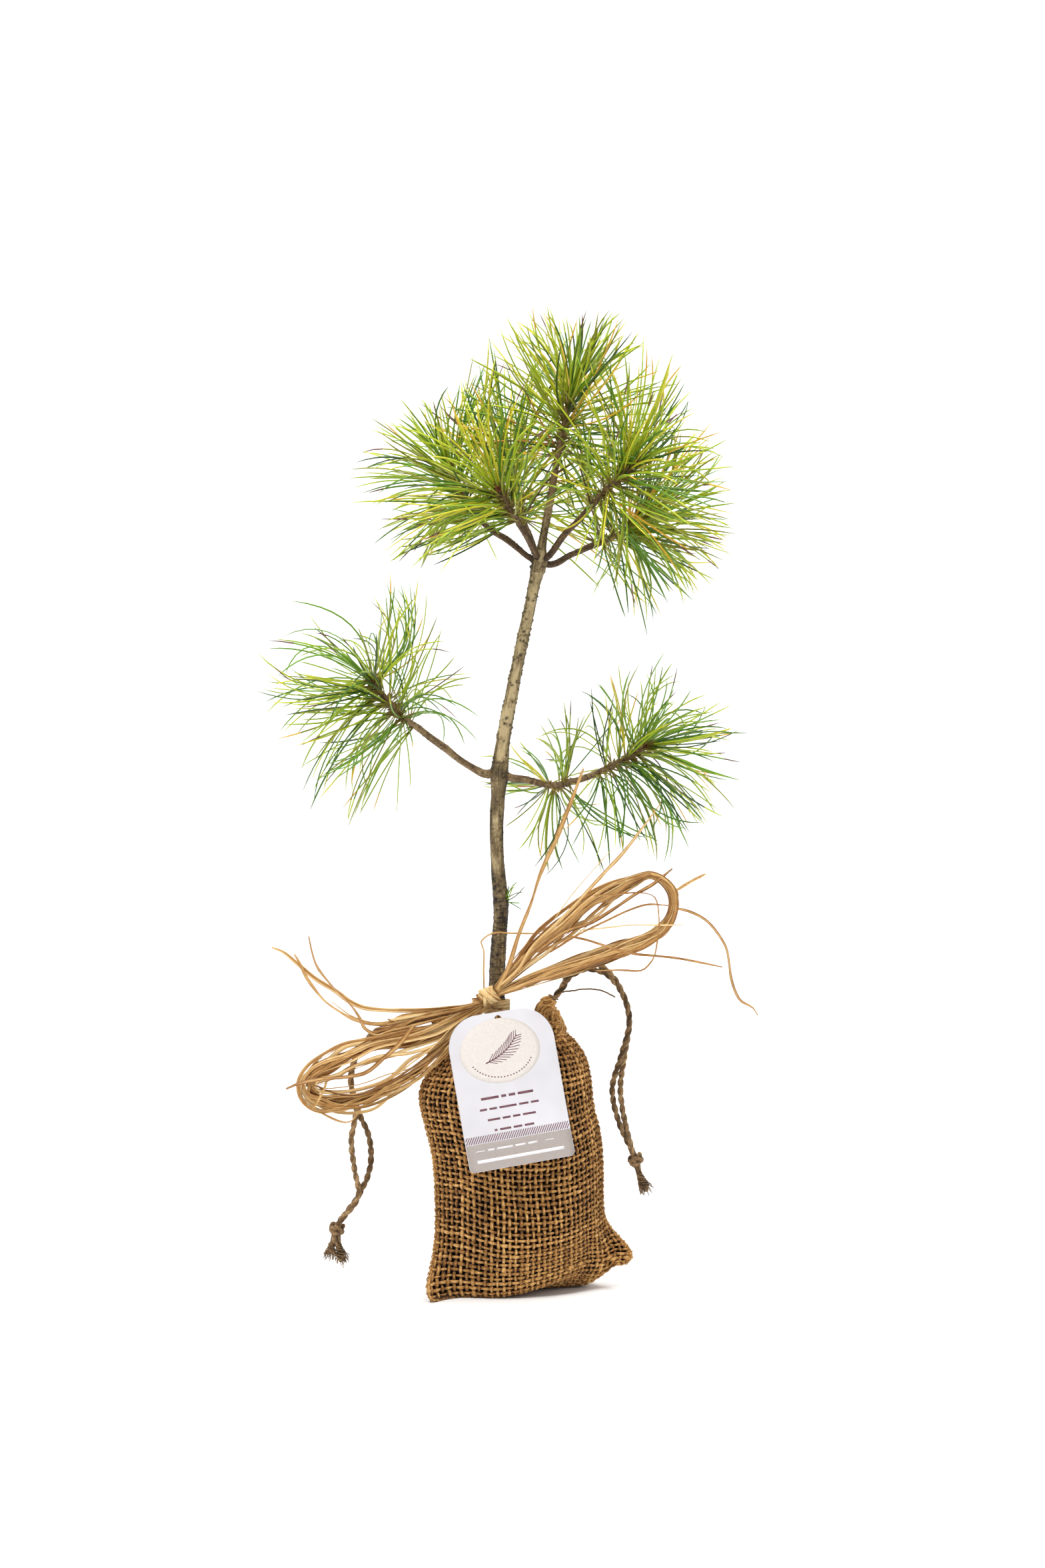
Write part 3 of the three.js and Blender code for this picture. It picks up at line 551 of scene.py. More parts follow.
# each bough: the points it runs through, the radii at its foot and bud, and the length that carries needles
BOUGHS = {
    "bough_low_left": dict(pts=[LOW, (-14.5, -0.6, 243.2), (-19.7, -1, 245.6), (-27.5, -2, 250.6), (-34, -2.6, 255.4), (-42, -3.4, 261.2), (-48.4, -4, 266.6),
                                (-54, -4.6, 270.6), (-59.6, -5.3, 277.2), (-64.3, -5.8, 282.6), (-67.5, -6, 287)], r=(1.75, 1.45), needled=30),
    "bough_low_right": dict(pts=[LOW, (-2.5, 0.6, 241.2), (2.8, 1.2, 240.6), (10.6, 2.6, 238.8), (18.7, 3.8, 237.6), (26.5, 5, 239.4), (34.6, 6, 242.2),
                                 (42.4, 6.8, 245.4), (50.5, 7.5, 249.2), (56.8, 7.9, 252.8), (60.5, 8, 256.5)], r=(1.75, 1.35), needled=26),
    "bough_top_left_outer": dict(pts=[TOP, (5.6, 1, 344.6), (0.6, 1.6, 348.6), (-9.4, 3.2, 356.0), (-15, 4.2, 360), (-19.3, 5, 364.4), (-25.3, 6, 373.4), (-29, 6.6, 380), (-31.8, 7, 387)],
                                 r=(1.6, 1.35), needled=31),
    "bough_top_left_inner": dict(pts=[TOP, (8.4, -4, 346.6), (4.4, -11, 354.2), (-0.6, -19, 363.0), (-5.6, -26, 370.4), (-8.4, -30, 375.5)], r=(1.55, 1.35), needled=26),
    "bough_top_right_inner": dict(pts=[TOP, (15.2, -2, 345.2), (21.3, -6, 353.4), (28.8, -10.5, 360.8), (37.0, -15.5, 370.6), (44.4, -19.5, 377.8), (50.4, -22.5, 382.8), (54.2, -24.3, 387.2)],
                                  r=(1.7, 1.45), needled=30),
    "bough_top_right_outer": dict(pts=[TOP, (16, 2, 341), (25.5, 7, 345.4), (31.8, 10, 348.2), (44, 15.5, 353.6), (53, 19, 358.6), (59.5, 21.8, 361.9), (62.5, 23, 364)],
                                  r=(1.65, 1.4), needled=31),
    "bough_top_back": dict(pts=[TOP, (9.6, 5, 345), (6.4, 17, 354), (2.4, 29, 366), (-0.6, 38, 377), (-2, 43, 384)], r=(1.6, 1.35), needled=28),
}


def set_attribute(ob, name, values):
    a = ob.data.attributes.new(name, "FLOAT", "POINT")
    a.data.foreach_set("value", np.asarray(values, np.float32))


def wood_material(name, light, dark, deep, fresh):
    """Young bark: tone, scar and age come from the relief, and the tone also carries painted shade and a painted
    highlight; noise adds the fine grain.
    """
    m, nt, b = material(name, 0.62, 0.32)
    tone = nt.nodes.new("ShaderNodeAttribute"); tone.attribute_name = "tone"
    scar = nt.nodes.new("ShaderNodeAttribute"); scar.attribute_name = "scar"
    age = nt.nodes.new("ShaderNodeAttribute"); age.attribute_name = "age"
    grain = noise(nt, 1500, 5, 0.7, (1, 1, 0.16))
    blot = noise(nt, 260, 3, 0.6, (1, 1, 0.45))
    s = nt.nodes.new("ShaderNodeMath"); s.operation = "MULTIPLY_ADD"
    nt.links.new(grain, s.inputs[0]); s.inputs[1].default_value = 0.55
    nt.links.new(tone.outputs["Fac"], s.inputs[2])
    s2 = nt.nodes.new("ShaderNodeMath"); s2.operation = "MULTIPLY_ADD"
    nt.links.new(blot, s2.inputs[0]); s2.inputs[1].default_value = 0.5
    nt.links.new(s.outputs[0], s2.inputs[2])
    base = ramp(nt, [(0.36, deep), (0.72, dark), (0.98, light)], s2.outputs[0])
    young = ramp(nt, [(0.36, dark), (0.95, fresh)], s2.outputs[0])
    c = mix_colour(nt, age.outputs["Fac"], young, base)
    c = mix_colour(nt, scar.outputs["Fac"], c, deep)
    nt.links.new(c, b.inputs["Base Color"])
    bump(nt, b, grain, 0.5, 0.00025)
    return m


bark_mat = wood_material("bark", (.74, .66, .50), (.46, .39, .27), (.13, .09, .05), (.52, .40, .28))
twig_mat = wood_material("twig_bark", (.56, .47, .33), (.36, .27, .18), (.11, .07, .045), (.50, .40, .27))


def limb_mesh(name, line, radius, sides, step, seed, mat, slot, nodes=(), age=None, pegs=None, wrinkle=None, amp=1.0, shade=None, painted_side_light=0.0):
    """A limb skinned round its centreline with the relief of young bark. radius(s) takes the share of length."""
    rng = np.random.default_rng(seed)
    n = int(length_of(line) / step)
    c = resample(line, n)
    t, a, b = frames(c, (0.05, 1, 0))
    share = np.linspace(0, 1, n)
    r = np.array([radius(k) for k in share])
    th = np.arange(sides) * 2 * math.pi / sides
    u = np.cos(th)[None, :, None] * a[:, None, :] + np.sin(th)[None, :, None] * b[:, None, :]
    arc = share * length_of(line)
    S, TH = np.meshgrid(arc, th, indexing="ij")
    R = np.broadcast_to(r[:, None], S.shape)
    q = np.stack([np.cos(TH) * R, np.sin(TH) * R, S], -1)
    grain = vnoise(q * [1.7, 1.7, 0.13], seed) - 0.5
    fine = vnoise(q * [2.6, 2.6, 1.6], seed + 1) - 0.5
    lump = vnoise(q * [0.33, 0.33, 0.16], seed + 2) - 0.5
    d = amp * (0.16 * grain + 0.09 * fine + 0.34 * lump)
    tone = 0.36 + 0.32 * grain + 0.2 * fine + 0.26 * lump
    scar = np.zeros_like(S)
    if painted_side_light:
        # painted light and shade: a painted highlight down the front and back of the limb, and painted shade round its
        # sides
        face = np.abs(u[..., 1]) + 0.25 * (vnoise(q * [0.2, 0.2, 0.05], seed + 9) - 0.5)
        tone = tone + painted_side_light * (0.75 * np.exp(-(((face - 0.93) / 0.22) ** 2)) - smooth((0.82 - face) / 0.75))
    if shade is not None:
        tone = tone - shade(S)
    # short cracks across the bark
    crack = np.exp(-((vnoise(np.stack([np.cos(TH) * 0.8, np.sin(TH) * 0.8, S * 0.8], -1), seed + 7) - 0.5) / 0.028) ** 2)
    crack = crack * (vnoise(np.stack([np.cos(TH) * 1.1, np.sin(TH) * 1.1, S * 0.3], -1), seed + 8) > 0.52)
    d = d - 0.10 * crack
    tone = tone - 0.22 * crack
    if wrinkle is not None:
        w = wrinkle(S)
        ring = 1 - np.abs(2 * vnoise(np.stack([np.cos(TH) * 1.3, np.sin(TH) * 1.3, S * 0.95], -1), seed + 3) - 1)
        ring = ring**4
        d = d - 0.24 * w * ring
        tone = tone - 0.30 * w * ring
    # small scars where needles once sat: a raised lip round a dark pit
    if pegs:
        for s0, size, high in pegs:
            a0 = rng.uniform(0, 2 * math.pi)
            near = np.abs(arc - s0) < size * 3.2
            if not near.any():
                continue
            dth = (TH[near] - a0 + math.pi) % (2 * math.pi) - math.pi
            dist = np.sqrt((dth * R[near]) ** 2 + ((S[near] - s0) * 1.25) ** 2) / size
            d[near] += high * np.exp(-(dist**2) * 1.2) - 0.55 * high * np.exp(-(((S[near] - s0 - size * 0.9) * 2) ** 2 + (dth * R[near] * 1.3) ** 2) / size**2)
            scar[near] = np.maximum(scar[near], 0.95 * np.exp(-((dist - 0.2) ** 2) * 2.0))
    for s0, half, high, dark in nodes:
        g = np.exp(-(((S - s0) / half) ** 2))
        crust = vnoise(q * [0.9, 0.9, 1.1], seed + 5)
        d += g * high * (crust - 0.35)
        tone -= g * dark * (0.4 + 0.8 * (crust - 0.3))
        scar = np.maximum(scar, g * dark * np.clip((0.52 - crust) * 4, 0, 1))
    p = c[:, None, :] + u * (R + d)[..., None]
    bag = Bag()
    i = np.arange(n - 1)[:, None] * sides
    k = np.arange(sides)[None, :]
    k2 = (k + 1) % sides
    quads = np.stack(np.broadcast_arrays(i + k, i + k2, i + sides + k2, i + sides + k), -1).reshape(-1, 4)
    fan = np.array([[0, x + 1, x] for x in range(1, sides - 1)])
    tris = np.concatenate([fan, (n - 1) * sides + fan[:, ::-1]])
    bag.add(p, quads, tris)
    ob = bag.make(name, mat, slot)
    ag = np.ones_like(S) if age is None else age(S)
    set_attribute(ob, "tone", tone.ravel())
    set_attribute(ob, "scar", np.clip(scar, 0, 1).ravel())
    set_attribute(ob, "age", np.clip(ag, 0, 1).ravel())
    return ob


def make_trunk():
    st = np.array(TRUNK)
    line = spline([(x, 0, z) for z, x, r in TRUNK], 900)
    zs = line[:, 2]
    rr = np.interp(zs, st[:, 0], st[:, 2])
    kernel = np.ones(15) / 15
    rr = np.convolve(np.pad(rr, 7, mode="edge"), kernel, mode="valid")
    L = length_of(line)

    def radius(k):
        return float(np.interp(k, np.linspace(0, 1, len(rr)), rr))
    rng = np.random.default_rng(3)
    at = lambda z: float(np.interp(z, zs, np.linspace(0, L, len(zs))))
    pegs = []
    for z in rng.uniform(126, 238, 60):
        pegs.append((at(z), rng.uniform(0.45, 0.8), rng.uniform(0.2, 0.4)))
    for z in rng.uniform(248, 336, 165):
        pegs.append((at(z), rng.uniform(0.5, 0.98), rng.uniform(0.32, 0.66)))
    for z in rng.uniform(346, 421, 120):
        pegs.append((at(z), rng.uniform(0.35, 0.6), rng.uniform(0.15, 0.30)))
    age = lambda S: 1 - 0.75 * smooth((S - at(348)) / 25)
    wr = lambda S: np.maximum(smooth((at(206) - S) / 22), 0.35 * smooth((S - at(300)) / 40) * smooth((at(338) - S) / 8)) * 1.0
    # the trunk gets the painted highlight down its front and back and the painted shade round its sides; besides, its
    # tone is darker above the fork and towards the bottom
    ob = limb_mesh("trunk_bark", line, radius, 56, 0.55, 21, bark_mat, "bark",
                   nodes=[(at(243.5), 4.4, 1.3, 0.20), (at(340.5), 3.6, 1.6, 0.34), (at(183.5), 1.5, 0.7, 0.4)], age=age, pegs=pegs, wrinkle=wr,
                   shade=lambda S: 0.03 + 0.15 * smooth((S - at(345)) / 10) + 0.22 * smooth((at(262) - S) / 26) + 0.06 * smooth((at(200) - S) / 30), painted_side_light=0.15)
    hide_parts("trunk")
    return line


trunk_line = make_trunk()
shoots = {}  # the needled end of each limb: points from its first needles to the bud
for n_b, (name, spec) in enumerate(BOUGHS.items()):
    line = spline(spec["pts"], 400)
    L = length_of(line)
    rng = np.random.default_rng(40 + n_b)
    wig = np.stack([wander(400, rng, 4, 2.2), wander(400, rng, 4, 2.2), wander(400, rng, 4, 2.2)], 1)
    line = line + wig * 0.55 * np.sin(np.linspace(0, math.pi, 400))[:, None]
    top = "_top_" in name
    r0, r1 = spec["r"][0] * (0.94 if top else 1.03), spec["r"][1] * (0.93 if top else 1.0)
    pegs = [(rng.uniform(3, L), rng.uniform(0.4, 0.7), rng.uniform(0.22, 0.42)) for _ in range(int(L * 0.75))]
    # painted shade: the top boughs under the crown get a much darker tone than the low ones, as if in the needles'
    # shadow
    ob = limb_mesh(name + "_bark", line, lambda k: lerp(r0, r1, k) * (1 + 0.55 * math.exp(-k * L / 2.6)) * (1 + 0.05 * math.sin(k * 19 + n_b)),
                   28, 0.45, 60 + n_b, twig_mat, "twig", nodes=[(1.5, 2.0, 0.7, 0.5), (L - 1.2, 1.0, 0.3, 0.4)], pegs=pegs, amp=0.9,
                   age=lambda S: 1 - 0.55 * smooth((S - (L - spec["needled"])) / 10), shade=lambda S: (0.20 if top else 0.05) + 0 * S)
    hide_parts(name)
    keep = spec["needled"] / L
    shoots[name] = resample(line[int(400 * (1 - keep)):], 60)
i0 = int(np.argmin(np.abs(trunk_line[:, 2] - 391)))
shoots["leader"] = resample(trunk_line[i0:], 60)


def make_buds():
    """Resting buds: overlapping papery scales round a pointed core."""
    bag = Bag()
    rng = np.random.default_rng(77)
    for name, sh in shoots.items():
        tip, d = sh[-1], unit(sh[-1] - sh[-6])
        sides = [(0.0, 3.8, 1.55)] if name != "leader" else [(0.0, 4.6, 1.6)]
        sides += [(1, 2.6, 1.0), (2.2, 2.4, 0.95), (4.1, 2.5, 0.9)]
        a = unit(np.cross(d, (0.1, 1, 0.2)))
        b = np.cross(d, a)
        for ang, ln, wd in sides:
            out = (math.cos(ang) * a + math.sin(ang) * b) if ang else np.zeros(3)
            foot = tip - d * 1.0 + out * 1.1
            way = unit(d + out * 0.55)
            k = np.linspace(0, 1, 9)
            core = foot + np.outer(k * ln, way)
            _, pa, pb = frames(core, (0.2, 1, 0.1))
            r = wd * np.array([0.72, 0.95, 1.0, 0.98, 0.88, 0.72, 0.52, 0.30, 0.06])
            tubes(bag, core, pa, pb, r, r, 10)
            for j in range(11):
                s = 0.06 + 0.78 * j / 11
                th = j * 2.4
                at = foot + way * ln * s
                rad = float(np.interp(s, k, r))
                o = math.cos(th) * unit(np.cross(way, (0.1, 1, 0.3))) + math.sin(th) * np.cross(way, unit(np.cross(way, (0.1, 1, 0.3))))
                c = np.array([at + o * (rad + 0.03 + 0.10 * q) + way * (q * 1.25) for q in np.linspace(0, 1, 5)])
                _, sa, sb = frames(c, o)
                tubes(bag, c, sa, sb, np.array([.07, .09, .09, .07, .03]), np.array([0.55, 0.62, 0.5, 0.34, 0.06]) * wd / 1.2, 6)
    return bag.make("buds", bud_mat, "twig")


bud_mat = fibre_material("bud_scales", [(.24, .12, .06), (.48, .27, .14), (.70, .48, .28)], 0.6, 0.3, 700, 0.0002, island_share=0.6)
sheath_mat = fibre_material("sheath_scales", [(.34, .27, .13), (.50, .43, .20), (.66, .58, .30)], 0.6, 0.3, 900, 0.0002, island_share=0.5)
make_buds()


# ------------------------------------------------------------------ needles
# Plain tints, dealt out by spray. Each spray is a fascicle of five needles from one sheath.
TINTS = {
    "lime": (.70, .75, .14), "spring": (.57, .67, .13), "leaf": (.41, .58, .13), "deep": (.27, .44, .07), "shade": (.17, .30, .05),
    "olive": (.52, .53, .12), "yellow": (.82, .78, .18), "gold": (.85, .66, .16), "rust": (.74, .46, .17), "umber": (.36, .24, .14),
    "plum": (.42, .26, .22), "sheath": (.52, .48, .20),
}
TINT_NAMES = list(TINTS)


def needle_materials():
    out = []
    for name, c in TINTS.items():
        m, nt, b = material("needle_" + name, 0.42, 0.42)
        b.inputs["Base Color"].default_value = lin(c)
        b.inputs["Subsurface Weight"].default_value = 0.0
        out.append(m)
    return out


needle_mats = needle_materials()
CROWN_MIX = dict(lime=24, spring=22, leaf=13, deep=10, olive=18, yellow=11, gold=2.5, rust=0.4, umber=1.0, shade=5)
LOW_MIX = dict(lime=13, spring=24, leaf=28, deep=20, olive=8, yellow=2.5, gold=0.8, rust=0.2, umber=0.5, shade=9)
SEGMENTS = 11


class Needles:
    """Needle centrelines of one zone, with the tint of each needle's foot, body and tip."""

    def __init__(self):
        self.paths, self.width, self.tone, self.tip = [], [], [], []

    def add(self, path, width, tone, tip=None):
        self.paths.append(path)
        self.width.append(width)
        self.tone.append(tone)
        self.tip.append(tone if tip is None else tip)

    def make(self, name, rng):
        p = np.array(self.paths)
        n, m = p.shape[:2]
        ref = unit(rng.normal(0, 1, (n, 1, 3)) + 0.001)
        t, a, b = frames(p, ref)
        k = np.linspace(0, 1, m)
        w = np.array(self.width)[:, None] * np.interp(k, [0, 0.05, 0.25, 0.75, 0.93, 1.0], [0.72, 0.86, 1.0, 0.98, 0.80, 0.30])[None, :]
        bag = Bag()
        sides = 3
        th = np.arange(sides) * 2 * math.pi / sides
        v = p[:, :, None, :] + (w[:, :, None] * np.cos(th))[..., None] * a[:, :, None, :] + (w[:, :, None] * 0.8 * np.sin(th))[..., None] * b[:, :, None, :]
        i = np.arange(n)[:, None, None] * m * sides
        j = np.arange(m - 1)[None, :, None] * sides
        q = np.arange(sides)[None, None, :]
        q2 = (q + 1) % sides
        quads = np.stack(np.broadcast_arrays(i + j + q, i + j + q2, i + j + sides + q2, i + j + sides + q), -1).reshape(-1, 4)
        tone, tip = np.array(self.tone), np.array(self.tip)
        mats = np.repeat(tone[:, None], m - 1, axis=1)
        mats[:, m - 3:] = tip[:, None]
        mats[:, 0] = TINT_NAMES.index("sheath")
        mats = np.repeat(mats.reshape(-1), sides)
        bag.v.append(v.reshape(-1, 3)); bag.q.append(quads); bag.qm.append(mats.astype(np.int32)); bag.n = n * m * sides
        tips = np.array([[0, 2, 1]])
        end = (np.arange(n) * m * sides + (m - 1) * sides)[:, None] + np.array([0, 1, 2])[None]
        bag.t.append(end); bag.tm.append(tip.astype(np.int32))
        ob = bag.make(name, needle_mats, "needles")
        return ob


def pick(rng, mix):
    names = list(mix)
    w = np.array([mix[n] for n in names], float)
    return TINT_NAMES.index(names[rng.choice(len(names), p=w / w.sum())])


def tip_tone(rng, tone):
    r = rng.uniform()
    if r < 0.035:
        return TINT_NAMES.index("umber")
    if r < 0.055:
        return TINT_NAMES.index("plum")
    if r < 0.09:
        return TINT_NAMES.index("gold")
    if r < 0.30:
        return TINT_NAMES.index("yellow" if tone in (0, 6) else "lime")
    return tone


def inside(poly, x, z):
    """True where (x,z) lies in the closed outline."""
    hit = False
    n = len(poly)
    for i in range(n):
        x1, z1 = poly[i]
        x2, z2 = poly[(i + 1) % n]
        if (z1 > z) != (z2 > z) and x < (x2 - x1) * (z - z1) / (z2 - z1) + x1:
            hit = not hit
    return hit


def grown(foot, way, length, droop, curl):
    """A needle that leaves its foot along way, and bends under its own weight and by its own curl."""
    k = np.linspace(0, 1, SEGMENTS)
    d = unit(way[None] + (k**1.15)[:, None] * curl[None] - (k**1.3 * droop)[:, None] * UP[None])
    step = length / (SEGMENTS - 1)
    p = np.vstack([np.zeros(3), np.cumsum((d[:-1] + d[1:]) * 0.5 * step, axis=0)])
    return foot + p


def aimed(foot, tip, off, rng, straight=0.0):
    """A needle from its foot to a chosen tip, with its middle off the chord."""
    k = np.linspace(0, 1, SEGMENTS)[:, None]
    mid = (foot + tip) / 2 + off
    ctrl = 2 * mid - (foot + tip) / 2
    return (1 - k) ** 2 * foot + 2 * k * (1 - k) * ctrl + k**2 * tip


# outlines that the tips stay inside, seen from the front (x, z)
CROWN = [(-79, 392), (-77, 386), (-79, 372), (-68, 355), (-59, 341), (-43, 337), (-36, 346), (-15, 345), (-4, 347), (8, 338), (28, 330), (36, 326), (56, 313),
         (61, 306), (66, 313), (78, 321), (93, 330), (99, 339), (102, 354), (102, 366), (99, 378), (99, 396), (84, 407), (81, 421), (72, 434), (60, 448),
         (46, 460), (32, 458), (11, 462), (-1, 457), (-14, 448), (-26, 430), (-27, 422), (-36, 421), (-54, 417), (-67, 407)]
LOW_LEFT = [(-119, 284), (-117, 300), (-112, 306), (-104, 325), (-86, 308), (-78, 312), (-70, 325), (-61, 338), (-44, 336), (-38, 320), (-30, 308), (-22, 292),
            (-16, 262), (-24, 255), (-54, 227), (-80, 217), (-96, 229), (-104, 244), (-110, 260), (-120, 272)]
LOW_RIGHT = [(-18, 250), (-18, 236), (-5, 222), (12, 194), (22, 195), (40, 195), (66, 199), (72, 203), (88, 216), (102, 230), (105, 242), (107, 261), (98, 277),
             (77, 290), (69, 302), (49, 296), (30, 284), (20, 274), (14, 272), (-4, 259)]

# tips that give the crown its outline: (x, z)
CROWN_TIPS = [(11, 461), (12.5, 461), (0, 456), (3, 455), (-8, 451), (-13, 448), (-11, 446), (-20, 441), (-15, 438), (-15, 433), (-25, 429), (-25, 425), (-26, 423),
              (-24, 418), (0, 415), (-35, 421), (-45, 417), (-53, 416), (-57, 403), (-59, 399), (-66, 407), (-67, 403), (-73, 395), (-73, 387), (-78, 386), (-77, 378),
              (-76, 380), (-65, 357), (-59, 360), (-55, 362), (-75, 369), (-70, 373), (-67, 369), (-60, 346), (-57, 342), (-58, 344), (-47, 339), (-34, 336),
              (-54, 354), (14, 458), (14, 453), (17, 451), (25, 438), (31, 456), (34, 451), (45, 459), (45, 448), (39, 440), (59, 447), (61, 446), (59, 438),
              (67, 438), (71, 436), (69, 432), (75, 425), (75, 421), (74, 419), (73, 426), (81, 421), (87, 407), (91, 407), (98, 395), (91, 393), (93, 391),
              (99, 383), (98, 380), (99, 375), (57, 427), (58, 413), (41, 429), (82, 400), (101, 369), (101, 358), (98, 366), (101, 355), (98, 340), (93, 332),
              (86, 326), (87, 334), (83, 330), (77, 323), (69, 325), (69, 328), (73, 332), (59, 320), (60, 315), (60, 308), (43, 334), (37, 327), (34, 339),
              (96, 351), (96, 374), (-9, 343), (-37, 349), (-41, 405), (-13, 420)]
# long needles of the low tufts: tip (x, z), share along the needled shoot's bough, and how far the middle bows off the chord (x, z)
LOW_LEFT_AIMS = [(-103,324,1.0,9,7), (-112,306,1.0,3,4), (-117,300,1.0,-2,-8), (-99,300,1.0,1,1), (-101,292,1.0,0,-2), (-119,283,0.96,0,-5), (-117,283,0.94,0,-2),
                 (-118.5,271,1.0,-2,8), (-110,278,1.0,1,-3), (-97,276,0.93,0,-1), (-90,271,1.0,-3,3), (-106,268,0.84,1,-3), (-109,261,0.91,1,-2), (-103,244,0.95,-4,3),
                 (-97,260,0.97,0,0), (-95,249,0.92,-1,1), (-98,237,0.89,-3,3), (-95,228,0.85,-3,2), (-94,230,0.76,0,0), (-82,233,0.82,-5,2), (-79,237,0.77,-4,3),
                 (-76,240,0.78,-4,2), (-81,219,0.72,-3,1), (-77,221,0.74,-1,0), (-54,229,0.70,0,1), (-95,256,0.70,1,-3), (-86,246,0.72,1,-2), (-87,250,0.74,2,-4),
                 (-94,272,0.82,0,-2), (-80,259,0.84,-1,1), (-25,255,0.70,4,8), (-17,260,0.70,2,7), (-17,272,0.70,-1,8), (-30,275,0.73,1,11), (-25,293,0.76,0,-1),
                 (-23,289,0.85,-1,3), (-29,269,0.74,0,5), (-38,317,0.76,0,0), (-43,328,0.80,4,-1), (-47,335,0.98,4,-2), (-45,317,0.98,3,-2), (-57,330,1.0,13,-3),
                 (-54,330,1.0,8,-2), (-60,337,0.98,3,-1), (-70,324,0.98,10,1), (-78,308,0.99,8,4), (-79,308,1.0,1,0), (-85,304,1.0,0,0), (-68,309,1.0,2,0), (-63,309,1.0,1,-1)]
LOW_RIGHT_AIMS = [(30,281,0.84,5,4), (38,286,0.9,2,1), (43,289,0.86,1,0), (49,294,0.97,-2,-1), (56,295,0.96,-7,-1), (68,301,0.96,-5,0), (67,292,1.0,1,0), (73,294,0.97,2,-1),
                  (77,289,1.0,-7,3), (97,277,1.0,0,0), (95,271,1.0,-1,2), (99,275,1.0,0,-1), (105,264,1.0,0,2), (97,266,1.0,0,-2), (107,261,1.0,0,-1), (101,265,0.99,0,-4),
                  (101,251,1.0,0,-2), (96,260,0.99,2,-8), (102,242,1.0,0,-1), (103,237,0.97,-1,-2), (100,229,0.97,2,4), (95,225,0.93,4,4), (95,225,0.93,-1,-2), (87,223,0.93,2,2),
                  (88,216,0.87,3,3), (84,223,0.83,-4,-7), (80,211,0.8,4,4), (79,211,0.88,2,1), (71,204,0.85,8,3), (67,200,0.76,5,2), (66,202,0.72,4,3), (45,211,0.70,2,1)]
INNER_AIMS = [(49,209,0.6,4,2), (40,196,0.4,3,2), (60,210,0.4,-1,-1), (60,215,0.44,-4,-5), (41,218,0.38,-4,-4), (22,196,0.38,-3,0), (20,199,0.38,-2,0), (13,195,0.38,9,-1),
              (15,197,0.35,-2,0), (14,200,0.35,-2,0), (1,210,0.35,2,-1), (-6,216,0.34,1,-1), (-2,224,0.33,1,-1), (-17,238,0.31,1,-1), (-17,236,0.31,2,-3), (-5,233,0.32,1,-1),
              (-17,250,0.33,2,4), (-3,258,0.34,0,-1), (1,257,0.34,1,0), (-4,247,0.33,0,1), (14,271,0.4,3,1), (10,261,0.4,3,2), (9,258,0.44,3,4), (26,277,0.44,1,1),
              (23,271,0.42,2,3), (37,273,0.43,-2,1), (32,268,0.42,-1,0), (11,265,0.41,2,1)]

BOX_LO, BOX_HI = np.array(cad_box[0]) / MM + 0.3, np.array(cad_box[1]) / MM - 0.3


def in_box(p):
    return (p > BOX_LO).all() and (p < BOX_HI).all()


def fascicles(store, pegs, shoot, count, rng, mix, poly, opening=(72, 16), length=(64, 88), droop=(0.05, 0.5), spread=0.20, turn=0.0, side=None, width=(0.46, 0.58), curve=0.35, wild=0.16, bias=1.5):
    """Fascicles of five set round a shoot by the golden angle: opening runs from the oldest to the bud.
    The five needles of one spray part from each other along their whole length."""
    m = len(shoot)
    for j in range(count):
        s = ((j + 0.5) / count) ** 0.85
        i = min(m - 2, int(s * (m - 1)))
        foot = shoot[i]
        axis = unit(shoot[min(m - 1, i + 3)] - shoot[max(0, i - 3)])
        a = unit(np.cross(axis, (0.13, 0.95, 0.31)))
        b = np.cross(axis, a)
        phi0 = math.radians(137.508 * j) + turn
        for attempt in range(16):
            phi = phi0 + rng.normal(0, 0.2 + 0.05 * attempt)
            theta = math.radians(lerp(opening[0], opening[1], s**bias) + rng.normal(0, 10) - 1.5 * attempt)
            out = math.cos(phi) * a + math.sin(phi) * b
            way = math.cos(theta) * axis + math.sin(theta) * out
            ln = rng.uniform(*length) * (1 - 0.025 * attempt)
            g = rng.uniform(*droop) * (0.5 + 0.8 * abs(math.hypot(way[0], way[1])))
            curl = axis * rng.uniform(-0.1, curve) + rng.normal(0, wild, 3)
            start = foot + out * 0.9
            lead = grown(start, way, ln, g, curl)
            if inside(poly, lead[-1, 0], lead[-1, 2]) and in_box(lead[-1]) and (side is None or side(lead)):
                break
        else:
            continue
        pegs.append((foot, out, axis))
        tone = pick(rng, mix)
        fan = unit(np.cross(way, rng.normal(0, 1, 3)))
        fan2 = np.cross(way, fan)
        for k in range(5):
            ang = 2 * math.pi * (k + rng.uniform(-0.25, 0.25)) / 5
            dv = (fan * math.cos(ang) + fan2 * math.sin(ang)) * spread * rng.uniform(0.5, 1.35)
            for shrink in (1.0, 0.93, 0.84, 0.74, 0.62):
                p = grown(start + rng.normal(0, 0.25, 3), unit(way + dv * shrink), ln * rng.uniform(0.88, 1.03) * shrink**0.6, g * rng.uniform(0.7, 1.3), curl + rng.normal(0, wild, 3))
                if in_box(p[-1]) and inside(poly, p[-1, 0], p[-1, 2]) and (side is None or side(p)):
                    break
            else:
                continue
            t = tone if rng.uniform() < 0.6 else pick(rng, mix)
            store.add(p, rng.uniform(*width), t, tip_tone(rng, t))


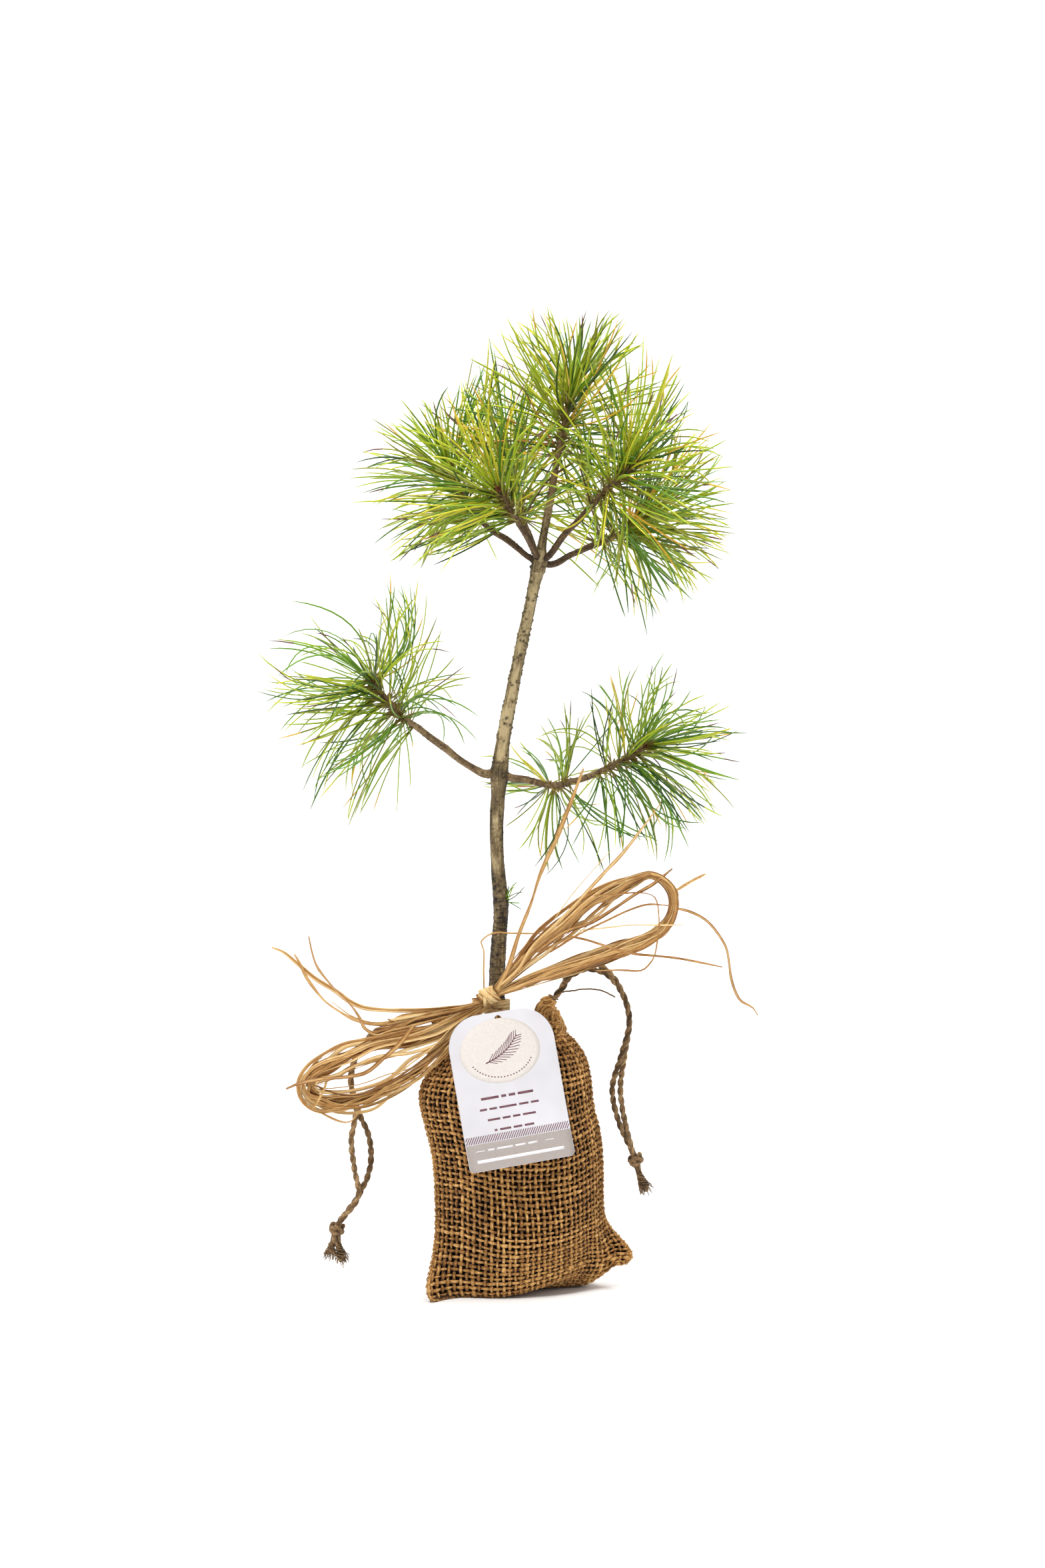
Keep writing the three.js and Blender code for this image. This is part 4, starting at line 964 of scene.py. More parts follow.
def aims(store, pegs, line, rows, rng, mix, poly, span=(60, 78), mates=(0, 2)):
    """Sprays whose tips are set: the rest of each needle's length goes towards or away from the viewer."""
    n = len(line)
    for x, z, s, ox, oz in rows:
        i = int(np.clip(s + rng.normal(0, 0.012), 0, 1) * (n - 1))
        foot = line[i]
        seen = math.hypot(x - foot[0], z - foot[2]) + 2.0 * math.hypot(ox, oz) * 0.3
        ln = max(rng.uniform(*span), seen * 1.02)
        depth = math.sqrt(max(ln**2 - seen**2, 4.0)) * rng.choice([-1, 1]) * rng.uniform(0.75, 1.0)
        behind = foot[0] > -4 and x < -3  # these pass behind the trunk
        if behind:
            depth = max(abs(depth), 16.0)
        tip = np.array([x, foot[1] + depth, z])
        tip = np.clip(tip, BOX_LO, BOX_HI)
        off = np.array([ox, depth * rng.uniform(0.0, 0.12), oz], float)
        way = unit(tip - foot)
        start = foot + way * 1.0
        pegs.append((foot, way, unit(line[min(n - 1, i + 4)] - line[max(0, i - 4)])))
        tone = pick(rng, mix)
        store.add(aimed(start, tip, off, rng), rng.uniform(0.42, 0.54), tone, tip_tone(rng, tone))
        for k in range(rng.integers(mates[0], mates[1] + 1)):
            t2 = tip + rng.normal(0, 6.0, 3) * np.array([1, 1.6, 1])
            t2 = start + (t2 - start) * rng.uniform(0.78, 1.0)
            if in_box(t2) and inside(poly, t2[0], t2[2]):
                t = tone if rng.uniform() < 0.7 else pick(rng, mix)
                store.add(aimed(start + rng.normal(0, 0.3, 3), t2, off * rng.uniform(0.7, 1.2) + rng.normal(0, 1.6, 3), rng), rng.uniform(0.40, 0.5), t, tip_tone(rng, t))


def make_needles():
    pegs = []
    crown, low = Needles(), Needles()
    rng = np.random.default_rng(101)
    crown_shoots = ["leader", "bough_top_left_outer", "bough_top_left_inner", "bough_top_right_inner", "bough_top_right_outer", "bough_top_back"]
    # the outline first: each tip grows from the shoot that can reach it
    for x, z in CROWN_TIPS:
        best = None
        for name in crown_shoots:
            sh = shoots[name]
            bud = sh[-1]
            axis = unit(sh[-1] - sh[-12])
            v = np.array([x - bud[0], 0, z - bud[2]])
            d = np.linalg.norm(v)
            cos = float((v / max(d, 1)) @ np.array([axis[0], 0, axis[2]]))
            cost = abs(d - 50) + max(0, d - 76) * 4 + 26 * (1 - cos) + rng.uniform(0, 6)
            if best is None or cost < best[0]:
                best = (cost, name, d)
        sh = shoots[best[1]]
        for attempt in range(12):
            foot = sh[rng.integers(int(len(sh) * 0.25), len(sh))]
            d = math.hypot(x - foot[0], z - foot[2])
            if 30 < d < 66:
                break
        ln = max(rng.uniform(56, 72), d * 1.03)
        depth = math.sqrt(max(ln**2 - d**2, 1)) * rng.choice([-1, 1]) * rng.uniform(0.6, 1.0)
        tip = np.clip(np.array([x, foot[1] + depth, z]), BOX_LO, BOX_HI)
        chord = tip - foot
        axis = unit(sh[-1] - sh[-12])
        lift = unit(axis - (axis @ unit(chord)) * unit(chord)) * rng.uniform(0, 5.5) + UP * rng.uniform(0, 2.5)
        tone = pick(rng, CROWN_MIX)
        start = foot + unit(chord) * 1.0
        pegs.append((foot, unit(chord), axis))
        store = crown
        store.add(aimed(start, tip, lift, rng), rng.uniform(0.46, 0.58), tone, tip_tone(rng, tone))
        for k in range(rng.integers(1, 3)):
            t2 = start + (tip + rng.normal(0, 6.5, 3) - start) * rng.uniform(0.8, 1.0)
            if in_box(t2) and inside(CROWN, t2[0], t2[2]):
                t = tone if rng.uniform() < 0.7 else pick(rng, CROWN_MIX)
                store.add(aimed(start + rng.normal(0, 0.3, 3), t2, lift + rng.normal(0, 2.0, 3), rng), rng.uniform(0.46, 0.58), t, tip_tone(rng, t))
    # nothing hangs over the fork itself, which stays clear between the boughs
    def clear(p):
        if (p[-1, 2] < 356 and abs(p[-1, 0] - 10) < 17) or (p[6, 2] < 350 and abs(p[6, 0] - 10) < 12):
            return False
        # few needles cross in front of the lower leader
        fine = resample(p, 40)
        stem = np.interp(fine[:, 2], [342, 356, 374, 392, 404], [10.7, 12.9, 16.4, 19.2, 21.6])
        cross = (fine[:, 1] < -2) & (fine[:, 2] > 340) & (fine[:, 2] < 404) & (np.abs(fine[:, 0] - stem) < 3.2)
        return not (cross.any() and rng.uniform() < 0.85)
    fascicles(crown, pegs, shoots["leader"], 35, rng, CROWN_MIX, CROWN, opening=(112, 20), droop=(-0.1, 0.2), length=(48, 68), spread=0.34, turn=0.3, side=clear, bias=1.1, wild=0.22)
    for name, count in (("bough_top_left_outer", 26), ("bough_top_left_inner", 17), ("bough_top_right_inner", 26), ("bough_top_right_outer", 26), ("bough_top_back", 26)):
        fascicles(crown, pegs, shoots[name], count, rng, CROWN_MIX, CROWN, opening=(98, 16), droop=(0.0, 0.42), length=(48, 70), spread=0.30, turn=rng.uniform(0, 6), side=clear, wild=0.22)
    # low tufts
    ll, lr = spline(BOUGHS["bough_low_left"]["pts"], 400), spline(BOUGHS["bough_low_right"]["pts"], 400)
    aims(low, pegs, ll, LOW_LEFT_AIMS, rng, LOW_MIX, LOW_LEFT, mates=(1, 2))
    aims(low, pegs, lr, LOW_RIGHT_AIMS, rng, LOW_MIX, LOW_RIGHT, mates=(1, 3))
    aims(low, pegs, lr, INNER_AIMS, rng, LOW_MIX, LOW_RIGHT, span=(42, 60), mates=(1, 2))
    fascicles(low, pegs, shoots["bough_low_left"], 17, rng, LOW_MIX, LOW_LEFT, opening=(95, 24), droop=(0.1, 0.9), length=(44, 66), spread=0.26, turn=1.0, width=(0.43, 0.53), wild=0.30)
    fascicles(low, pegs, shoots["bough_low_right"], 19, rng, LOW_MIX, LOW_RIGHT, opening=(95, 20), droop=(0.1, 0.9), length=(40, 62), spread=0.26, turn=2.0, width=(0.43, 0.53), wild=0.30)
    # the small shoot low on the trunk
    base = np.array([-5.0, -1.5, 183.6])
    for x, z in ((-1.6, 192), (0.5, 192.5), (4.0, 190.6), (3.0, 188), (2.5, 179.4), (-0.5, 190.5), (1.8, 183), (-3.4, 191)):
        tip = np.array([x, rng.uniform(-7, 1.5), z])
        t = pick(rng, LOW_MIX)
        low.add(aimed(base + rng.normal(0, 0.3, 3), tip, rng.normal(0, 0.5, 3), rng), 0.34, t, t)
    a = crown.make("needles_crown", rng)
    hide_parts("foliage_top_leader", "foliage_top_left_outer", "foliage_top_left_inner", "foliage_top_right_inner", "foliage_top_right_outer", "foliage_top_back")
    b = low.make("needles_low", rng)
    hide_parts("foliage_low_left", "foliage_low_right", "foliage_low_right_inner")
    # the sheath and peg under each spray
    bag = Bag()
    for foot, out, axis in pegs:
        way = unit(out * 0.9 + axis * 0.75)
        c = np.array([foot + way * q for q in (0.2, 1.1, 2.0, 3.0, 4.2)])
        _, pa, pb = frames(c, (0.2, 1, 0.1))
        r = np.array([0.62, 0.60, 0.56, 0.52, 0.36]) * rng.uniform(0.85, 1.1)
        tubes(bag, c, pa, pb, r, r, 7)
    bag.make("sheaths", sheath_mat, "twig")
    print("needles", len(crown.paths), len(low.paths))


make_needles()


# ------------------------------------------------------------------ burlap bag
YAW = math.radians(17)
BAG = dict(height=121.0, half_w=41.5, half_d=25.0, foot_w=38.0, foot_d=22.0, mouth_w=25.0, mouth_d=12.0, shoulder=0.74, mouth_x=-1.5, mouth_y=2.6,
           foot_x=1.8, sway=6.3, sway_z=92.0, left_ear=10.0, left_z=2.0, right_ear=7.5, right_z=5.0, forward=20.0, lift=11.5, lift_from=-22.0, lift_span=66.0)
PITCH = 2.78       # one thread of the weave
RUFFLE = 5.2       # free edge above the drawstring
YARN = 0.67        # radius of a thread
burlap_mat = fibre_material("burlap_yarn", [(.20, .12, .055), (.61, .425, .22), (.87, .68, .42), (.97, .86, .63)], 0.9, 0.10, 1500, 0.00045, sheen=0.12, island_share=0.2)


def darken_by(m, attribute, amount):
    """Shifts a material's colour ramp down by a mesh attribute."""
    nt = m.node_tree
    node = [x for x in nt.nodes if x.bl_idname == "ShaderNodeValToRGB"][0]
    source = node.inputs[0].links[0].from_socket
    at = nt.nodes.new("ShaderNodeAttribute"); at.attribute_name = attribute
    math_node = nt.nodes.new("ShaderNodeMath"); math_node.operation = "MULTIPLY_ADD"
    nt.links.new(at.outputs["Fac"], math_node.inputs[0]); math_node.inputs[1].default_value = -amount
    nt.links.new(source, math_node.inputs[2])
    nt.links.new(math_node.outputs[0], node.inputs[0])


# painted shade on the weave: the threads are darker where they dip under a crossing thread and on their undersides
darken_by(burlap_mat, "painted_weave_shade", 0.59)
stitch_mat = fibre_material("stitch_thread", [(.52, .38, .20), (.72, .56, .33), (.86, .73, .50)], 0.85, 0.15, 900, 0.0002)


def bag_half(h):
    rise = np.minimum(1, h / 0.09)
    foot = np.sqrt(np.maximum(0, 1 - (1 - rise) ** 2))
    sh = np.clip((h - BAG["shoulder"]) / (1 - BAG["shoulder"]), 0, 1)
    close = 1 - np.maximum(0, np.cos(sh * math.pi / 2)) ** 0.9
    waist = 1 - 0.02 * np.sin(math.pi * np.minimum(1, h / 0.6))
    w = lerp(lerp(BAG["foot_w"], BAG["half_w"], foot) * waist, BAG["mouth_w"], close)
    d = lerp(lerp(BAG["foot_d"], BAG["half_d"], foot), BAG["mouth_d"], smooth(sh))
    return w, d


def bag_sway(z):
    return BAG["foot_x"] - BAG["sway"] * np.exp(-(((z - BAG["sway_z"]) / 20) ** 2)) + (BAG["mouth_x"] - BAG["foot_x"] + 0.8) * smooth((z - 105) / 16)


def bag_profile():
    """From the top edge of the sheet, down the body and in under the foot: height, half width, half depth, against distance."""
    rows = []
    for k in np.linspace(0, 1, 14):           # ruffle down to the pinched neck
        z = 121.5 + RUFFLE * (1 - k)
        f = 0.90 + 0.10 * (1 - k) ** 0.8
        rows.append((z, BAG["mouth_w"] * f, BAG["mouth_d"] * f * 1.04))
    hs = np.concatenate([np.linspace(0.985, 0.1, 110), 0.1 * (1 - np.linspace(0.04, 1, 26)) ** 1.6])
    for h in hs:
        w, d = bag_half(np.array(h))
        pinch = 1 - 0.10 * math.exp(-((1 - h) / 0.02) ** 2)
        rows.append((h * 121.0, float(w) * pinch, float(d) * pinch))
    foot_d = BAG["foot_d"]
    for k in np.linspace(0.06, 1, 16):        # underside to the seam
        rows.append((0.0, BAG["foot_w"] * (1 - 0.02 * k), foot_d * (1 - k)))
    rows = np.array(rows)
    step = np.sqrt(np.diff(rows[:, 0]) ** 2 + np.diff(rows[:, 2]) ** 2 + 0.25 * np.diff(rows[:, 1]) ** 2)
    return np.concatenate([[0], np.cumsum(step)]), rows


PROFILE_Q, PROFILE = bag_profile()
WEFTS = int(PROFILE_Q[-1] / PITCH)
sec = np.linspace(-1, 1, 801)
sec_y = 24 * (1 - np.abs(sec) ** 2.4) ** 0.62
sec_len = np.concatenate([[0], np.cumsum(np.hypot(np.diff(sec) * 42.0, np.diff(sec_y)))])
WARPS = int(sec_len[-1] / PITCH)


CARD = dict(place=(-8.6, -18.6, 130.0), roll=math.radians(7.0), lean=math.radians(11.2))


def card_local(x, y, z):
    """Where a point lies in the card's own frame: across, down from the hole, and out past its printed side."""
    x, y, z = x - CARD["place"][0], y - CARD["place"][1], z - CARD["place"][2]
    c, s = math.cos(YAW), math.sin(YAW)
    x, y = x * c + y * s, -x * s + y * c
    c, s = math.cos(CARD["lean"]), math.sin(CARD["lean"])
    y, z = y * c - z * s, z * c + y * s
    c, s = math.cos(CARD["roll"]), math.sin(CARD["roll"])
    x, z = x * c + z * s, z * c - x * s
    return x, -z, -y


def bag_surface(alpha, kappa, side, out=0.0, ears=1.0):
    """The sheet at warp number alpha and weft number kappa; side -1 is the front. out moves it along its own normal."""
    if np.any(out != 0):
        e = 0.05
        p = bag_surface(alpha, kappa, side)
        da = bag_surface(alpha + e, kappa, side) - bag_surface(alpha - e, kappa, side)
        dk = bag_surface(alpha, kappa + e, side) - bag_surface(alpha, kappa - e, side)
        n = unit(np.cross(da, dk)) * (-side)
        return p + n * np.asarray(out)[..., None]
    alpha, kappa = np.broadcast_arrays(np.asarray(alpha, float), np.asarray(kappa, float))
    s = np.interp(alpha / WARPS * sec_len[-1], sec_len, sec)
    s = np.where(alpha < 0, -1 + alpha * 1e-3, np.where(alpha > WARPS, 1 + (alpha - WARPS) * 1e-3, s))
    q0 = kappa * PITCH
    z0 = np.interp(q0, PROFILE_Q, PROFILE[:, 0])
    bell = np.clip(z0 / 26, 0, 1) ** 1.2 * np.clip((118 - z0) / 40, 0, 1)
    if side < 0:
        sag = 6.5 * np.maximum(0, 1 - ((s - 0.05) / 0.85) ** 2) * bell
    else:
        sag = 3.0 * np.maximum(0, 1 - (s / 0.9) ** 2) * bell
    q = q0 + sag
    z = np.interp(q, PROFILE_Q, PROFILE[:, 0])
    z = np.where(z > 121.5, 121.5 + (z - 121.5) * (1 - 0.8 * np.clip(s, 0, 1) ** 3), z)
    w = np.interp(q, PROFILE_Q, PROFILE[:, 1])
    d = np.interp(q, PROFILE_Q, PROFILE[:, 2])
    power = lerp(0.66, 0.48, smooth((z - 50) / 60))
    cs = np.clip(1 - np.abs(np.clip(s, -1, 1)) ** 2.4, 0, 1)
    x = s * w
    y = side * d * cs**power
    h = np.clip(z / 121.0, 0, 1)
    ear = np.abs(np.clip(s, -1, 1)) ** 8.75 * ears
    left = np.where(s < 0, np.exp(-(((z - BAG["left_z"]) / 14) ** 2)), 0)
    right = np.where(s > 0, np.exp(-(((z - BAG["right_z"]) / 15) ** 2)), 0)
    x = x + (right * BAG["right_ear"] - left * BAG["left_ear"]) * ear
    y = y * (1 - 0.35 * np.abs(s) ** 3.75 * (left + right)) - BAG["forward"] * (left + right) * ear
    front = smooth((-y - 4) / 16)
    end = smooth((x - 28) / 16)
    lift = BAG["lift"] * smooth((x - BAG["lift_from"]) / BAG["lift_span"]) * np.maximum(front, end) * np.maximum(0, 1 - h / 0.3)
    # slack folds: soft dents in the front, a hollow below the tag, creases that run to the corners and the neck
    fold = 1.3 * np.sin(s * 5.2 + z * 0.045 + 0.6) * np.exp(-(((z - 62) / 34) ** 2)) * (1 - s**2)
    fold += 4.2 * np.exp(-((s - 0.10) / 0.38) ** 2 - ((z - 51) / 11) ** 2) * (1 if side < 0 else 0)
    fold -= 1.6 * np.exp(-((s - 0.05) / 0.5) ** 2 - ((z - 31) / 15) ** 2) * (1 if side < 0 else 0.3)
    crease = np.sin((s - 0.62) * 22 + (z - 15) * 0.12)
    fold += 1.1 * crease * np.exp(-(((s - 0.74) / 0.2) ** 2) - ((z - 20) / 16) ** 2)
    gather = np.exp(-np.maximum(0, 122 - z) / 15.0)
    fold += gather * 1.25 * np.sin(s * 27 + 1.3 * np.sin(s * 9) + (0.8 if side < 0 else 2.1)) * (1 - 0.55 * np.abs(s) ** 6)
    y = y - side * fold * np.clip(cs * 2.2, 0, 1) * np.clip(z / 8, 0, 1)
    x = x + gather * 0.5 * np.sin(s * 31 + 1.0)
    x = x + bag_sway(z)
    y = y + BAG["mouth_y"] * smooth(h)
    z = z + lift + 0.95
    if side < 0:
        # the cloth is pressed in behind the card
        wx, wy = x * math.cos(YAW) - y * math.sin(YAW), x * math.sin(YAW) + y * math.cos(YAW)
        cu, cv, cd = card_local(wx, wy, z)
        near = smooth((31 - np.abs(cu)) / 8) * smooth((cv + 6) / 8) * smooth((78 - cv) / 10)
        push = near * np.maximum(0, cd + 2.1)
        x = x - push * math.sin(0.0)
        y = y + push
    return np.stack([x * math.cos(YAW) - y * math.sin(YAW), x * math.sin(YAW) + y * math.cos(YAW), z], -1)


def thread(bag, p, n, rng, under, radius=YARN, sides=5):
    """Threads (N,M,3) with slubs, thick and thin along their length; n is the sheet's normal there."""
    t = unit(np.gradient(p, axis=1))
    a = unit(n - (n * t).sum(-1, keepdims=True) * t)
    b = np.cross(t, a)
    N, M = p.shape[:2]
    base = radius * rng.uniform(0.82, 1.18, (N, 1))
    k = np.arange(M)[None, :] / 4.0
    slub = np.zeros((N, M))
    for f in (0.11, 0.23, 0.41, 0.9):
        slub += np.sin(k * f * 2 * math.pi * rng.uniform(0.8, 1.25, (N, 1)) + rng.uniform(0, 6.3, (N, 1)))
    r = base * (1 + 0.085 * slub)
    lumps = rng.uniform(0, 1, (N, M)) > 0.992
    if lumps.any():
        kern = np.array([.15, .5, .9, 1, .9, .5, .15])
        soft = np.stack([np.convolve(row, kern, mode="same") for row in lumps.astype(float)])
        r = r * (1 + 0.35 * np.clip(soft, 0, 1))
    tubes(bag, p, a, b, r * 0.88, r * 1.06, sides, phase=0.3, caps=False)
    # painted shade: high where the thread dips under a crossing thread and on its side that faces into the sheet
    inner = 0.5 - 0.5 * np.cos(0.3 + np.arange(sides) * 2 * math.pi / sides)
    return (0.62 * under[..., None] + 0.38 * inner).ravel()


def make_weave():
    rng = np.random.default_rng(23)
    amp = 0.50
    per = 4
    fuzz = Bag()
    for side, label in ((-1, "front"), (1, "back")):
        # wefts: across from seam to seam
        kk = np.arange(WEFTS + 1, dtype=float)
        al = np.linspace(0, WARPS, WARPS * per + 1)
        K, A = np.meshgrid(kk, al, indexing="ij")
        jit = np.stack([0.13 * wander(len(al), rng, 6, 7) for _ in kk])
        kpos = np.clip(K + jit, 0, WEFTS)
        base = bag_surface(A, kpos, side)
        e = 0.06
        n = unit(np.cross(bag_surface(A + e, kpos, side) - bag_surface(A - e, kpos, side), bag_surface(A, kpos + e, side) - bag_surface(A, kpos - e, side))) * (-side)
        n = n * np.sign((n * unit(base - np.array([0, 0, 60]))).sum(-1, keepdims=True)).mean()
        up = np.cos(math.pi * (A + K)) * amp
        p = base + n * up[..., None]
        p[..., 2] = np.maximum(p[..., 2], 0.52)
        bag = Bag()
        # each thread's painted shade, from where it dips under and from its underside
        painted_weave_shade = [thread(bag, p, n, rng, 0.5 - 0.5 * up / amp)]
        # warps: from the top edge down and under
        aa = np.arange(1, WARPS, dtype=float)
        ka = np.linspace(0, WEFTS, WEFTS * per + 1)
        A2, K2 = np.meshgrid(aa, ka, indexing="ij")
        jit = np.stack([0.13 * wander(len(ka), rng, 6, 7) for _ in aa])
        apos = A2 + jit
        base2 = bag_surface(apos, K2, side)
        n2 = unit(np.cross(bag_surface(apos + e, K2, side) - bag_surface(apos - e, K2, side), bag_surface(apos, K2 + e, side) - bag_surface(apos, K2 - e, side))) * (-side)
        n2 = n2 * np.sign((n2 * unit(base2 - np.array([0, 0, 60]))).sum(-1, keepdims=True)).mean()
        up2 = -np.cos(math.pi * (A2 + K2)) * amp
        p2 = base2 + n2 * up2[..., None]
        p2[..., 2] = np.maximum(p2[..., 2], 0.52)
        painted_weave_shade.append(thread(bag, p2, n2, rng, 0.5 - 0.5 * up2 / amp))
        ob = bag.make("burlap_" + label, burlap_mat, "burlap")
        set_attribute(ob, "painted_weave_shade", np.concatenate(painted_weave_shade))
        if side < 0:
            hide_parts("root_ball", "bag_hem")
        # loose fibres standing off the cloth
        count = 620
        ai, ki = rng.integers(0, len(aa), count), rng.integers(0, len(ka) - 3, count)
        edge = rng.uniform(0, 1, count) < 0.35
        ai = np.where(edge & (rng.uniform(0, 1, count) < 0.5), rng.integers(0, 3, count), np.where(edge, rng.integers(len(aa) - 4, len(aa), count), ai))
        foot = p2[ai, ki]
        d = unit(n2[ai, ki] * rng.uniform(0.2, 1.0, (count, 1)) + rng.normal(0, 0.7, (count, 3)))
        ln = rng.uniform(1.2, 4.2, count)
        m = 5
        q = np.linspace(0, 1, m)
        bend = rng.normal(0, 0.8, (count, 3))
        dirs = unit(d[:, None] + bend[:, None] * q[None, :, None])
        pp = foot[:, None] + np.cumsum(dirs * (ln / m)[:, None, None], axis=1)
        pp[..., 2] = np.maximum(pp[..., 2], 0.2)
        _, fa, fb = frames(pp, (0.3, 1, 0.2))
        wd = 0.045 * (1 - 0.6 * q)[None, :] * np.ones((count, 1))
        tubes(fuzz, pp, fa, fb, wd, wd, 3, caps=False)
    ob = fuzz.make("burlap_fuzz", fuzz_mat, "burlap")


def make_seams():
    """The folded seam along each side and under the foot, whipped with thread."""
    rng = np.random.default_rng(31)
    bag, sew = Bag(), Bag()
    ks = np.linspace(3.2, WEFTS, 420)
    for alpha in (0.0, float(WARPS)):
        c = bag_surface(np.full_like(ks, alpha), ks, -1)
        c[:, 2] = np.maximum(c[:, 2], 1.0)
        c = resample(c, 420)
        for j in range(3):
            ang = j * 2.1 + np.linspace(0, 9, len(c)) + 0.5 * wander(len(c), rng, 5, 4)
            t, a, b = frames(c, (0.2, 1, 0.1))
            p = c + (np.cos(ang) * 0.42)[:, None] * a + (np.sin(ang) * 0.42)[:, None] * b
            p[:, 2] = np.maximum(p[:, 2], 0.6)
            r = 0.50 * (1 + 0.14 * wander(len(c), rng, 8, 6))
            _, pa, pb = frames(p, (0.2, 1, 0.1))
            tubes(bag, p, pa, pb, r, r, 5)
        # whipping
        n_st = int(length_of(c) / 3.4)
        idx = np.linspace(6, len(c) - 8, n_st).astype(int)
        t, a, b = frames(c, (0.2, 1, 0.1))
        for i in idx:
            k = np.linspace(0, 1, 11)
            ang = k * 2 * math.pi * 1.0 + rng.uniform(0, 6)
            loop = c[i] + np.outer(np.cos(ang) * 1.25, a[i]) + np.outer(np.sin(ang) * 1.15, b[i]) + np.outer((k - 0.5) * 2.0, t[i])
            loop[:, 2] = np.maximum(loop[:, 2], 0.3)
            _, la, lb = frames(loop, t[i])
            tubes(sew, loop, la, lb, 0.23, 0.23, 5)
    # seam under the foot
    al = np.linspace(0, WARPS, 260)
    c = bag_surface(al, np.full_like(al, WEFTS), -1)
    c[:, 2] = np.maximum(c[:, 2], 0.75)
    t, a, b = frames(c, (0, 1, 0))
    for j in range(2):
        p = c + a * (j - 0.5) * 0.9
        p[:, 2] = np.maximum(p[:, 2], 0.6)
        _, pa, pb = frames(p, (0, 1, 0))
        tubes(bag, p, pa, pb, 0.5, 0.5, 5)
    # rolled hem of the free edge, and the drawstring where it runs round the neck under the cloth
    for side in (-1, 1):
        al = np.linspace(0, WARPS, 260)
        for off, r in ((0.0, 0.55), (0.45, 0.5)):
            p = bag_surface(al, np.full_like(al, 0.05 + off), side)
            _, pa, pb = frames(p, (0, 0, 1))
            rr = r * (1 + 0.12 * wander(len(al), rng, 8, 8))
            tubes(bag, p, pa, pb, rr, rr, 5)
        st = np.arange(0.7, WARPS - 0.7, 1.5)
        for s0 in st:
            k = np.linspace(0, 1, 7)
            a_ = s0 + 0.8 * k
            p = bag_surface(a_, np.full(7, 1.15) + 0.15 * np.sin(k * 6), side)
            mid = p.mean(0)
            outw = unit(mid - np.array([-2.2, 2.0, mid[2]]))
            p = p + outw * (0.75 + 0.25 * np.sin(k * math.pi))[:, None]
            _, pa, pb = frames(p, (0, 0, 1))
            tubes(sew, p, pa, pb, 0.2, 0.2, 5)
    bag.make("bag_seams", burlap_mat, "burlap")
    sew.make("bag_stitching", stitch_mat, "burlap")


def sleeve(bag, pts, radii, warps, wefts, rng, flat=0.85, swirl=0.0):
    """A gathered tube of the cloth along a line: threads along it in pleats, and threads round it, over a core of folded cloth."""
    c = spline(pts, 60)
    t, a, b = frames(c, (0.1, 1, 0.05))
    k = np.linspace(0, 1, 60)
    r = np.interp(k, np.linspace(0, 1, len(radii)), radii)
    th = np.arange(16) * math.pi / 8
    tubes(bag, c, a, b, r * 0.86, r * 0.86 * flat, 16, profile=1 + 0.10 * np.cos(th * 5))
    for j in range(warps):
        th = 2 * math.pi * j / warps + 0.25 * wander(60, rng, 3, 1.5) + swirl * k
        rr = r * (1 + 0.07 * math.cos(j * math.pi)) * (1 + 0.10 * np.cos(th * 5)) + 0.22 * wander(60, rng, 9, 5)
        p = c + (np.cos(th) * rr)[:, None] * a + (np.sin(th) * rr * flat)[:, None] * b
        w = 0.60 * (1 + 0.22 * wander(60, rng, 9, 6))
        _, pa, pb = frames(p, (0.1, 1, 0.05))
        tubes(bag, p, pa, pb, w, w, 5)
    for j in range(wefts):
        s = (j + 0.6) / (wefts + 0.2)
        i = int(s * 59)
        th = np.linspace(0, 2 * math.pi, 54)
        wob = 0.42 * np.cos(th * warps / 3 + j * math.pi) + 0.25 * wander(54, rng, 6, 3) + r[i] * 0.10 * np.cos(th * 5)
        p = c[i] + np.outer(np.cos(th) * (r[i] + wob), a[i]) + np.outer(np.sin(th) * (r[i] + wob) * flat, b[i]) + np.outer(1.3 * np.sin(th + j * 1.7) + 0.3 * wander(54, rng, 4, 2), t[i])
        _, pa, pb = frames(p, t[i])
        w = 0.5 * (1 + 0.2 * wander(54, rng, 6, 4))
        tubes(bag, p, pa, pb, w, w, 5)


